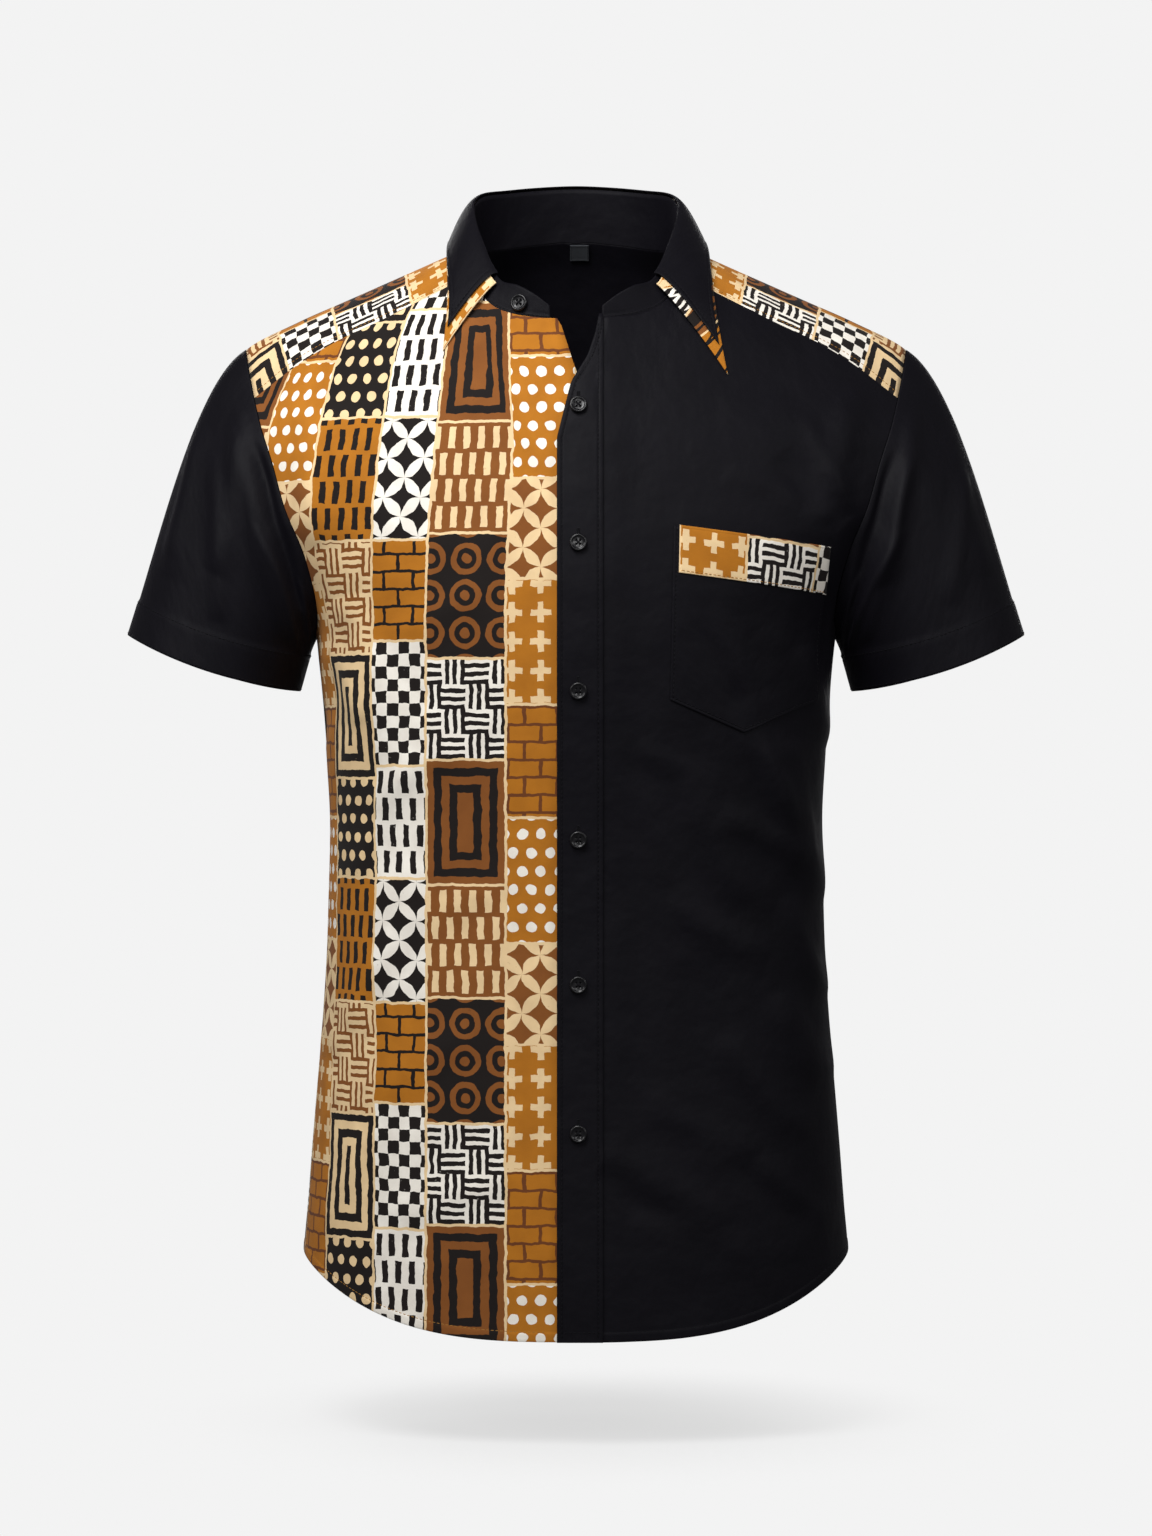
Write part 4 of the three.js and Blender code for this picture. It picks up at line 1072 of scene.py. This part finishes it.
def tube(line, radius, sides):
    """A round thread along a line."""
    ahead = unit(np.gradient(line, axis=0))
    first = np.cross(ahead[0], [0.3, 0.5, 0.8])
    vertices = []
    for point, along in zip(line, ahead):
        side = unit(first - along * np.dot(first, along))
        other = np.cross(along, side)
        vertices += [point + side * x + other * y for x, y, _ in circle(radius, sides, 0)]
    return vertices, tube_faces(len(line), sides)


def grid_normals(grid, ring):
    if ring:
        across = np.roll(grid[:, :-1], -1, axis=1) - np.roll(grid[:, :-1], 1, axis=1)
        across = np.concatenate([across, across[:, :1]], axis=1)
    else:
        across = np.gradient(grid, axis=1)
    return unit(np.cross(across, np.gradient(grid, axis=0)))


def steps_along(grid, axis):
    run = np.cumsum(np.linalg.norm(np.diff(grid, axis=axis), axis=2), axis=axis)
    return np.concatenate([np.zeros_like(np.take(run, [0], axis)), run], axis=axis)


def stops(count, length=1, start=(), end=()):
    """Even ways from 0 to 1, with more at distances from the start and the end of a length."""
    more = [d / length for d in start] + [1 - d / length for d in end]
    return np.unique(np.round(np.concatenate([np.linspace(0, 1, count + 1), more]), 6))


def beside_stitches(inset):
    """Distances from a sewn edge at which its relief needs points."""
    return (0.35, 0.9, 1.6, inset - 0.9, inset - 0.4, inset, inset + 0.4, inset + 0.9, inset + 1.8)


def sewn_edges(sides, inset, turn=0.35, groove=0.3, rounding=0.25):
    """Relief of turned and stitched edges against the distance from each of them."""

    def lift(away):
        ply = turn * (1 - smooth_step(inset + PLY_ENDS[0], inset + PLY_ENDS[1], away))
        sunk = groove * np.exp(-(((away - inset) / GROOVE_WIDE) ** 2))
        return ply - sunk - rounding * np.exp(-((away / ROUNDING_WIDE) ** 2))

    return {side: lift for side in sides}


def edge_relief(grid, sewn):
    across, along = steps_along(grid, 1), steps_along(grid, 0)
    away = {"left": across, "right": across[:, -1:] - across, "foot": along, "top": along[-1:] - along}
    return sum(lift(away[side]) for side, lift in sewn.items())


def shell(name, surface, columns, rows, facing=1, ring=False, hand=None, sewn=None):
    """A closed thin shell of cloth: the surface is its outer face, the inner one lies a ply inside.

    facing is 1 where across x along points outwards. The flat coordinates are millimetres on the
    cloth, from its first column and row; with a hand, they start at the middle of the body and are
    heights along it. sewn gives the relief of the stitched edges by side. The first and last
    columns of a ring share their vertices.
    """
    grid = surface(*np.meshgrid(columns, rows))
    if ring:
        grid[:, -1] = grid[:, 0]
    normal = grid_normals(grid, ring) * facing
    across, along = steps_along(grid, 1), steps_along(grid, 0)
    if hand is not None:
        across, along = across + hand * grid[:, :1, 0], grid[..., 2]
    flat = np.tile(np.stack([across, along], -1).reshape(-1, 2), (2, 1)).astype(np.float32)
    lift = edge_relief(grid, sewn)[..., None] if sewn else 0
    vertices = np.stack([grid + normal * lift, grid - normal * PLY]).reshape(-1, 3)
    faces = shell_faces(len(rows), len(columns), ring)[:, ::facing]
    keep = np.arange(len(vertices)).reshape(2, len(rows), len(columns))
    if ring:
        keep[:, :, -1] = keep[:, :, 0]
    mesh = bpy.data.meshes.new(name)
    mesh.from_pydata((vertices * MM).tolist(), [], keep.ravel()[faces].tolist())
    mesh.uv_layers.new(name="flat").data.foreach_set("uv", flat[faces.ravel()].ravel())
    mesh.validate()
    mesh.shade_smooth()
    return linked(name, mesh)


def shell_faces(tall, wide, ring):
    """Quads of a shell's outer face, its inner face and its rim."""
    count = tall * wide
    index = np.arange(count).reshape(tall, wide)
    corners = [index[:-1, :-1], index[:-1, 1:], index[1:, 1:], index[1:, :-1]]
    quads = np.stack(corners, -1).reshape(-1, 4)
    if ring:
        loops = [index[0], index[-1][::-1]]
    else:
        loops = [np.concatenate([index[0], index[1:, -1], index[-1, -2::-1], index[-2::-1, 0]])]
    rims = [np.stack([q[1:], q[:-1], q[:-1] + count, q[1:] + count], -1) for q in loops]
    return np.vstack([quads, quads[:, ::-1] + count, *rims])


def darken_inside(obj, columns, rows, painted_shade_reverse):
    """The inner face of a strip is made black, for the print's duller reverse with painted shade on it,
    except where its seam allowance shows at the back.
    """
    obj.data.materials.append(painted_shade_reverse)
    index = np.zeros(len(obj.data.polygons), np.int32)
    darkened = np.repeat(rows[:-1] < DARK_INSIDE_TO, len(columns) - 1)
    index[len(darkened) : 2 * len(darkened)] = darkened
    obj.data.polygons.foreach_set("material_index", index)


# Pieces


def dress(obj, material, node=None):
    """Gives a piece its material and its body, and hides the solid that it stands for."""
    obj.data.materials.append(material)
    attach(obj, BODY_NAME)
    if node:
        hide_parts(node)


def cloth(obj, node, slot_name, mats):
    dress(obj, mats[slot_name], node)


# Stitches


def surface_line(surface, u, v, facing):
    """Points of a line on a surface, a little above it, and the outward direction at each."""
    u, v = np.broadcast_arrays(u, v)
    step = SURFACE_STEP
    across = surface(np.minimum(u + step, 1), v) - surface(np.maximum(u - step, 0), v)
    along = surface(u, np.minimum(v + step, 1)) - surface(u, np.maximum(v - step, 0))
    out = unit(np.cross(across, along)) * facing
    return surface(u, v) + out * STITCH_SINK, out


def front_line(x, z, lift):
    """The same for a line on the front, from its x and z."""
    x, z = np.broadcast_arrays(np.asarray(x, float), np.asarray(z, float))
    return front_at_x(x, z, lift + STITCH_SINK), body_normal("front", turn_at_x("front", z, x), z)


def along_line(line, out, pitch):
    """Places at an even pitch along a line: the point, the direction and the outward direction."""
    run = np.concatenate([[0], np.cumsum(np.linalg.norm(np.diff(line, axis=0), axis=1))])
    count = max(1, int(run[-1] / pitch))
    at = (np.arange(count) + 0.5) * (run[-1] / count)

    def read(values, where):
        return np.stack([np.interp(where, run, values[:, k]) for k in range(3)], -1)

    ahead = unit(read(line, at + AHEAD_STEP) - read(line, at - AHEAD_STEP))
    return read(line, at), ahead, unit(read(out, at))


def stitches(places, long, radius):
    """One small rounded thread at each place."""
    parts = []
    for point, ahead, out in zip(*places):
        side, vertices = np.cross(out, ahead), []
        for along, wide, up in STITCH_RINGS:
            middle = point + ahead * along * long + out * up * radius * STITCH_RISE
            ring = circle(radius * wide, STITCH_SIDES, 0)
            vertices += [middle + side * x + out * y for x, y, _ in ring]
        parts.append((vertices, tube_faces(len(STITCH_RINGS), STITCH_SIDES)))
    return parts


def sew(name, lines, mats, slot_name, pitch=STITCH_PITCH, long=STITCH_LONG, radius=STITCH_RADIUS):
    """One piece of thread: stitches along each line of (points, outward directions)."""
    parts = [part for line in lines for part in stitches(along_line(*line, pitch), long, radius)]
    obj = linked(name, new_mesh(name, *joined(parts)))
    dress(obj, mats["ochre_thread" if slot_name == "print_cotton" else "black_thread"])
    return obj


def ways(count, end=0):
    """Even ways along a line that stops short of both ends by that part of it."""
    return np.linspace(end, 1 - end, count)


def hem_line(surface, facing, start=HEM_END):
    u = mix(start, 1 - HEM_END, ways(400))
    v = LOWER_PART * HEM_INSET / (UNDERARM_Z - surface(u, 0 * u)[:, 2])
    return surface_line(surface, u, v, facing)


def sew_fronts(mats):
    z = np.linspace(HEM_LOWEST_Z["front"] + 3, PLACKET_TOP_Z - 6, 700)
    across = np.linspace(left_edge_x(HEM_LEVEL_Z) + 1, PLACKET_OUTER_X - 1, 40)
    lines = [
        front_line(left_edge_x(z) + PLACKET_INSET, z, 2 * LAYER),
        front_line(PLACKET_OUTER_X - PLACKET_INSET, z, 2 * LAYER),
        front_line(across, HEM_LOWEST_Z["front"] + HEM_INSET, 2 * LAYER),
    ]
    left, right = hem_line(left_front, 1, LEFT_HEM_START), hem_line(right_front, -1, RIGHT_HEM_START)
    return {
        "placket": sew("placket_stitches", lines, mats, "black_cotton"),
        "left": sew("left_hem_stitches", [left], mats, "black_cotton"),
        "right": sew("right_hem_stitches", [right], mats, "print_cotton"),
        "rear": sew("back_hem_stitches", [hem_line(back, -1)], mats, "black_cotton"),
    }


def build_panels(mats):
    long = (UNDERARM_Z - HEM_LOWEST_Z["front"]) / LOWER_PART
    rows = stops(ROWS["body"], long, beside_stitches(HEM_INSET))
    hem = sewn_edges(["foot"], HEM_INSET)
    columns = stops(COLUMNS["front"])
    right = shell("right_front", right_front, columns, rows, -1, hand=-1, sewn=hem)
    left = shell("left_front", left_front, columns, rows, hand=1, sewn=hem)
    rear = shell("back_panel", back, stops(COLUMNS["back"]), rows, -1, hand=1, sewn=hem)
    both = beside_stitches(PLACKET_INSET)
    sides = sewn_edges(["left", "right"], PLACKET_INSET, turn=0)
    columns = stops(COLUMNS["placket"], PLACKET_OUTER_X - left_edge_x(HEM_LEVEL_Z), both, both)
    rows = stops(ROWS["placket"], 1, (0.001, 0.002))
    strip = shell("placket_strip", placket, columns, rows, sewn=sides)
    sewn = sew_fronts(mats)
    cloth(right, "front_right", "print_cotton", mats)
    cloth(left, "front_left", "black_cotton", mats)
    cloth(rear, "back", "black_cotton", mats)
    cloth(strip, "placket", "black_cotton", mats)
    return left


def build_shoulders(mats):
    near = beside_stitches(STRIP_INSET)
    columns, rows = stops(COLUMNS["strip"]), stops(ROWS["strip"], STRIP_WIDE, near, near)
    edges = sewn_edges(["foot", "top"], STRIP_INSET, turn=0.2)
    for name, hand in (("left", 1), ("right", -1)):
        surface = mirrored(shoulder_strip, hand)
        obj = shell(f"{name}_shoulder", surface, columns, rows, hand, sewn=edges)
        lines = [surface_line(surface, ways(200, STRIP_END), v, hand) for v in STRIP_LINES]
        sewn = sew(f"{name}_shoulder_stitches", lines, mats, "print_cotton")
        cloth(obj, f"shoulder_{name}", "print_cotton", mats)
        # Black cloth inside the strip: the print's duller reverse with painted shade.
        darken_inside(obj, columns, rows, mats["black_cotton"])


def mirrored(surface, hand):
    return lambda u, v: surface(u, v) * [hand, 1, 1]


def sleeve_line(surface, depth, hand):
    """A line round a sleeve, that far above its cuff."""
    u = ways(500)
    v = 1 - depth / np.linalg.norm(armhole_round(u) - cuff_round(u), axis=-1)
    line, out = surface_line(lambda a, b: surface(a % 1, b), u, v, 1)
    out[0], out[-1] = out[1], out[-2]
    return line * [hand, 1, 1], out * [hand, 1, 1]


def build_sleeves(mats):
    near = (0.3, 0.8, 1.4, *beside_stitches(SLEEVE_HEM - 1)[3:])
    columns, rows = stops(COLUMNS["sleeve"]), stops(ROWS["sleeve"], SLEEVE_LONG, end=near)
    hem = sewn_edges(["top"], SLEEVE_HEM - 1, turn=0)
    for name, hand in (("left", 1), ("right", -1)):

        def surface(way, along, creases=SLEEVE_CREASES[name]):
            return sleeve(way, along, creases)

        outer = mirrored(surface, hand)
        obj = shell(f"{name}_sleeve", outer, columns, rows, hand, True, sewn=hem)
        lines = [sleeve_line(surface, depth, hand) for depth in (SLEEVE_HEM - 1, CUFF_INSET)]
        sewn = sew(f"{name}_sleeve_stitches", lines, mats, "black_cotton")
        cloth(obj, f"sleeve_{name}", "black_cotton", mats)


def build_collar(mats):
    last = LEAF_LAST - LEAF_BORDER

    def stand(u, v):
        return stand_point(mix(-LAST_ROW, LAST_ROW, u), v) + points(0, 0, -STAND_COVER * (1 - v))

    def leaf(u, v):
        return leaf_point(mix(-last, last, u), v * (1 - LEAF_HEM_BORDER), LEAF_LIFT)

    def under(u, v):
        return leaf_point(mix(-LEAF_LAST, LEAF_LAST, u), mix(UNDER_FROM, 1, v), 0)

    down = 1 - COLLAR_INSET / LEAF_LONG
    lines = [surface_line(leaf, ways(600, LEAF_END), down, 1)]
    tip = mix(LEAF_TIP_START, down, ways(80))
    lines += [surface_line(leaf, at, tip, 1) for at in (LEAF_END, 1 - LEAF_END)]
    leaf_sewn = sew("collar_stitches", lines, mats, "black_cotton")
    foot = surface_line(stand, ways(600, STAND_END), STAND_LINE, -1)
    stand_sewn = sew("collar_band_stitches", [foot], mats, "black_cotton")
    edges, near = sewn_edges(["foot"], STAND_INSET, turn=0), beside_stitches(STAND_INSET)
    columns, rows = stops(COLUMNS["stand"]), stops(ROWS["stand"], STAND_HIGH, near)
    band = shell("collar_band", stand, columns, rows, -1, sewn=edges)
    cloth(band, "collar_stand", "black_cotton", mats)
    lower = shell("under_collar", under, stops(COLUMNS["under"]), stops(ROWS["under"]))
    cloth(lower, "collar_under", "print_cotton", mats)
    edges = sewn_edges(["left", "right", "top"], COLLAR_INSET, turn=0.15)
    near = beside_stitches(COLLAR_INSET)
    columns = stops(COLUMNS["leaf"], COLLAR_LONG, near, near)
    rows = stops(ROWS["leaf"], LEAF_LONG, end=near)
    top = shell("top_collar", leaf, columns, rows, sewn=edges)
    cloth(top, "collar_leaf", "black_cotton", mats)
    return band


def pocket_stitches():
    """The line round the pocket's sides and foot, and the line along the foot of its band."""
    inset, (foot, top) = POCKET_INSET / POCKET_WIDE, POCKET_LINES
    corners = [(inset, top), (inset, foot), (0.5, foot), (1 - inset, foot), (1 - inset, top)]
    corners = np.array(corners)
    line = np.vstack([mix(a, b, ways(120)[:, None]) for a, b in zip(corners[:-1], corners[1:])])
    u, v = line[:, 0], line[:, 1]
    out = front_line(pocket_x(u, v), mix(POCKET_FOOT_Z, POCKET_TOP_Z[0], v), 0)[1]
    side = ways(120, BAND_END)
    mouth = band_point(side, np.full(side.shape, BAND_LINE), POCKET_LIFT + BAND_LIFT + STITCH_SINK)
    mouth_out = front_line(mouth[:, 0], mouth[:, 2], 0)[1]
    return (pocket_point(u, v, POCKET_LIFT + STITCH_SINK), out), (mouth, mouth_out)


def build_pocket(mats):
    def patch(u, v):
        return pocket_point(u, v, POCKET_LIFT)

    def band(u, v):
        return band_point(u, v, POCKET_LIFT + BAND_LIFT)

    around, mouth = pocket_stitches()
    sewn = sew("pocket_stitches", [around], mats, "black_cotton")
    band_sewn = sew("pocket_band_stitches", [mouth], mats, "print_cotton")
    near = beside_stitches(POCKET_INSET)
    edges = sewn_edges(["left", "right", "foot"], POCKET_INSET, turn=0.1, groove=0.25)
    columns = stops(COLUMNS["pocket"], POCKET_WIDE, near, near)
    rows = stops(ROWS["pocket"], POCKET_LONG, near)
    lower = shell("chest_pocket", patch, columns, rows, sewn=edges)
    cloth(lower, "pocket", "black_cotton", mats)
    edges = sewn_edges(["foot", "top"], POCKET_INSET, turn=0.1, groove=0.2)
    columns, rows = stops(COLUMNS["band"]), stops(ROWS["band"], BAND_DEPTH, near, near)
    upper = shell("pocket_mouth_band", band, columns, rows, sewn=edges)
    cloth(upper, "pocket_band", "print_cotton", mats)


# Buttons, buttonholes and label


def button_mesh():
    """A shirt button with a rim, a dished middle and four real holes."""
    disc = linked("button_blank", new_mesh("button_blank", *lathe(BUTTON_PROFILE, BUTTON_SEGMENTS)))
    vertices, faces = lathe(DRILL_PROFILE, DRILL_SIDES)
    drills = []
    for x, y in ((1, 1), (1, -1), (-1, 1), (-1, -1)):
        hole = new_mesh("drill", np.array(vertices) + [x * HOLE_OFF, y * HOLE_OFF, 0], faces)
        drills.append(linked("drill", hole))
        cut = disc.modifiers.new("hole", "BOOLEAN")
        cut.operation, cut.object, cut.solver = "DIFFERENCE", drills[-1], "EXACT"
    graph = bpy.context.evaluated_depsgraph_get()
    mesh = bpy.data.meshes.new_from_object(disc.evaluated_get(graph))
    mesh.shade_smooth()
    for obj in (disc, *drills):
        bpy.data.objects.remove(obj)
    return mesh


def button_thread_mesh():
    """Two crossing bars of thread between the holes, and the shank under the button."""
    parts = []
    for level, (a, b) in enumerate([((1, 1), (-1, -1)), ((1, -1), (-1, 1))]):
        a, b = np.array([*a, 0.0]) * HOLE_OFF, np.array([*b, 0.0]) * HOLE_OFF
        side = unit(np.cross(b - a, [0, 0, 1]))
        for shift in (-BAR_OFF, BAR_OFF):
            line = mix(a, b, ways(9)[:, None]) + side * shift
            line[:, 2] = BAR_FOOT + (BAR_RISE + BAR_STEP * level) * (1 - np.linspace(-1, 1, 9) ** 4)
            parts.append(tube(line, BAR_RADIUS, 6))
    parts.append(tube(np.array([[0, 0, z] for z in SHANK_Z]), SHANK_RADIUS, 12))
    return new_mesh("thread_blank", *joined(parts))


def placed(name, mesh, point, out):
    """A copy of a mesh with its +Z turned outwards, and its +Y as near up as it goes."""
    z = Vector(out).normalized()
    x = Vector((0, 0, 1)).cross(z).normalized()
    y, spot = z.cross(x), Vector(point) * MM
    copy = mesh.copy()
    copy.transform(Matrix([(x[k], y[k], z[k], spot[k]) for k in range(3)] + [(0, 0, 0, 1)]))
    copy.name = name
    return linked(name, copy)


def buttonhole(name, line, out, mats):
    """A worked slit: short stitches side by side along both of its edges, and a bar at each end."""
    spots, ahead, away = along_line(line, out, BUTTONHOLE_PITCH)
    side = np.cross(away, ahead)
    parts = []
    for sign in (-1, 1):
        places = (spots + side * sign * WORK_OFF, side * sign, away)
        parts += stitches(places, WORK_LONG, WORK_RADIUS)
    for end, way in ((0, -1), (-1, 1)):
        places = ([spots[end] + ahead[end] * way * END_OFF], [side[end]], [away[end]])
        parts += stitches(places, END_LONG, END_RADIUS)
    dress(linked(name, new_mesh(name, *joined(parts))), mats["black_thread"])


def true_out(surface, u, v, step):
    across = surface(u + step, v) - surface(u - step, v)
    return unit(np.cross(across, surface(u, v + step) - surface(u, v - step)))


def build_buttons(mats):
    def on_placket(x, z):
        return front_at_x(x, z, 2 * LAYER)

    button, thread_mesh = button_mesh(), button_thread_mesh()
    spots = []
    for i, z in enumerate(BUTTON_Z):
        x, at = np.array([BUTTON_X]), np.array([float(z)])
        spots.append((f"button_{i + 1}", on_placket(x, at)[0], true_out(on_placket, x, at, 1.0)[0]))
        ends = z + BUTTONHOLE_LONG * BUTTONHOLE_UP, z - BUTTONHOLE_LONG * BUTTONHOLE_DOWN
        buttonhole(f"buttonhole_{i + 1}", *front_line(BUTTON_X, np.linspace(*ends, 30), 2 * LAYER), mats)
    row, rise = np.array([COLLAR_BUTTON[0]]), np.array([COLLAR_BUTTON[1]])
    out = -true_out(stand_point, row, rise, 0.05)
    spots.append(("collar_button", stand_point(row, rise)[0], out[0]))
    for name, point, out in spots:
        seat = point + out * BUTTON_SEAT
        dress(placed(f"{name}_shape", button, seat, out), mats["button"], name)
        dress(placed(f"{name}_thread", thread_mesh, seat, out), mats["black_thread"])


def build_label(mats):
    def inside(x, z):
        return body_point("back", turn_at_x("back", z, x), z)

    x, z = np.array([LABEL_X]), np.array([float(LABEL_Z)])
    inward = true_out(inside, x, z, 1.0)[0]
    middle = inside(x, z)[0] + inward * (CAD_WALL + LABEL_CLEAR + PLY)
    up = unit(np.array([0, 0, 1]) - inward * inward[2])
    side = np.cross(up, inward)

    def surface(u, v):
        a, b = (u - 0.5) * LABEL_WIDE, (v - 0.5) * LABEL_HIGH
        sag = LABEL_SAG * (1 - (2 * u - 1) ** 2) * (1 - v)
        upper, lower = (np.exp(-(((v - at) / LABEL_FOLD_WIDE) ** 2)) for at in (1, 0))
        rise = LABEL_FOLDS[0] * upper + LABEL_FOLDS[1] * lower - sag - LABEL_SET_BACK
        return middle + a[..., None] * side + b[..., None] * up + rise[..., None] * inward

    label = shell("woven_label", surface, stops(COLUMNS["label"]), stops(ROWS["label"]))
    cloth(label, "neck_label", "label_cloth", mats)
    lines = [surface_line(surface, at, ways(30, LABEL_END), 1) for at in (LABEL_END, 1 - LABEL_END)]
    sew("label_stitches", lines, mats, "label_cloth", **LABEL_STITCHES)


# Lights, floor and camera

CAMERA_AWAY = 3.0
CAMERA_Z = -0.3454
FOCAL_PX = 4412
PHOTO_HIGH_PX = 1536
SENSOR = 36
FLOOR_Z = -0.79
FLOOR_RADIUS = 1.6
FLOOR_RINGS, FLOOR_SIDES = 12, 96
FLOOR_FADE = (0.08, 0.3)  # the floor's shadow is seen whole and then fades out
FLOOR_CLEAR = 0.72  # how far the background shows through the floor
FLOOR_COLOURS = ((0.8, 0.8, 0.8), (0.82, 0.82, 0.82))
BACKGROUND = srgb(243, 243, 243)
AMBIENT = 0.12
# Soft boxes: where each stands, its width and height in metres, and its power in watts
LIGHTS = {
    "top": ((-0.4, -1.0, 0.9), (0.7, 0.7), 23),
    "left": ((-2.2, -1.6, 1.0), (1.0, 1.0), 21),
    "right": ((2.2, -1.6, 0.8), (1.0, 1.0), 16),
    "front": ((0.3, -3.3, 0.7), (1.0, 1.0), 18),
    "back_left": ((-0.7, 3.0, 1.0), (1.2, 1.2), 28),
    "back_right": ((0.7, 3.0, 0.4), (1.2, 1.2), 18),
}


def mix_shaders(tree, factor, first, second, output):
    both = tree.nodes.new("ShaderNodeMixShader")
    tree.links.new(factor, both.inputs["Fac"])
    tree.links.new(first.outputs[0], both.inputs[1])
    tree.links.new(second.outputs[0], both.inputs[2])
    tree.links.new(both.outputs[0], tree.nodes[output].inputs["Surface"])


def floor_material():
    """A pale matt floor whose rim fades into the background."""
    material, tree, shader = new_material("floor", {"Roughness": 1.0, "Specular IOR Level": 0.0})
    cloud = noise_field(tree, 1.2, 3, source="Object")
    tree.links.new(blend_colour(tree, cloud, *FLOOR_COLOURS), shader.inputs["Base Color"])
    x, y = plane_fields(tree, "Object")
    away = (x * x + y * y).root()
    part = ((away - FLOOR_FADE[0]) / (FLOOR_FADE[1] - FLOOR_FADE[0])).most(0).least(1)
    fade = part * part * (part * -2 + 3) * (1 - FLOOR_CLEAR) + FLOOR_CLEAR
    clear = tree.nodes.new("ShaderNodeBsdfTransparent")
    mix_shaders(tree, fade.socket, shader, clear, "Material Output")
    return material


def build_floor():
    vertices = [(0, 0, 0)]
    for r in range(1, FLOOR_RINGS + 1):
        vertices += circle(FLOOR_RADIUS * r / FLOOR_RINGS, FLOOR_SIDES, 0)
    faces = [face[::-1] for face in ring_faces(FLOOR_RINGS, FLOOR_SIDES, 1)]
    faces += [(0, 1 + k, 1 + (k + 1) % FLOOR_SIDES) for k in range(FLOOR_SIDES)]
    obj = linked("floor", new_mesh("floor", (np.array(vertices) + [0, 0, FLOOR_Z]) / MM, faces))
    obj.data.materials.append(floor_material())


def build_lights():
    for name, (place, size, power) in LIGHTS.items():
        light = bpy.data.lights.new(f"{name}_light", "AREA")
        light.shape, light.size, light.size_y = "RECTANGLE", *size
        light.energy = power
        obj = linked(f"{name}_light", light)
        obj.location = place
        towards = Vector((0, 0, CAMERA_Z)) - Vector(place)
        obj.rotation_euler = towards.to_track_quat("-Z", "Y").to_euler()


def build_world():
    """A dim even light, with the background's own colour where the camera sees it."""
    world = bpy.data.worlds.new("studio")
    world.use_nodes = True
    tree = world.node_tree
    around = tree.nodes["Background"]
    around.inputs["Color"].default_value = (1, 1, 1, 1)
    around.inputs["Strength"].default_value = AMBIENT
    behind = tree.nodes.new("ShaderNodeBackground")
    behind.inputs["Color"].default_value = (*BACKGROUND, 1)
    seen = tree.nodes.new("ShaderNodeLightPath").outputs["Is Camera Ray"]
    mix_shaders(tree, seen, around, behind, "World Output")
    bpy.context.scene.world = world


def build_camera():
    scene = bpy.context.scene
    camera = bpy.data.cameras.new("camera")
    camera.sensor_width = SENSOR
    camera.lens = FOCAL_PX * SENSOR / PHOTO_HIGH_PX
    holder = linked("camera", camera)
    holder.location = (0, -CAMERA_AWAY, CAMERA_Z)
    holder.rotation_euler = (math.pi / 2, 0, 0)
    scene.camera = holder
    scene.view_settings.view_transform = "Standard"
    scene.view_settings.look = "None"


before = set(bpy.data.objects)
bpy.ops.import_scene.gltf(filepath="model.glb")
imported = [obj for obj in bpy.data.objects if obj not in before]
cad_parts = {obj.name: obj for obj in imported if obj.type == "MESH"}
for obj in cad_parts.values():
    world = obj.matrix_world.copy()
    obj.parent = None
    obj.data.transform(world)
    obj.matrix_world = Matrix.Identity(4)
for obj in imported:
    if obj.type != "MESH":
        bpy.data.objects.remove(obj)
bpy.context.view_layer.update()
MATS = build_materials()
left_panel = build_panels(MATS)
build_shoulders(MATS)
build_sleeves(MATS)
collar_band = build_collar(MATS)
build_pocket(MATS)
build_buttons(MATS)
build_label(MATS)
build_floor()
build_lights()
build_world()
build_camera()
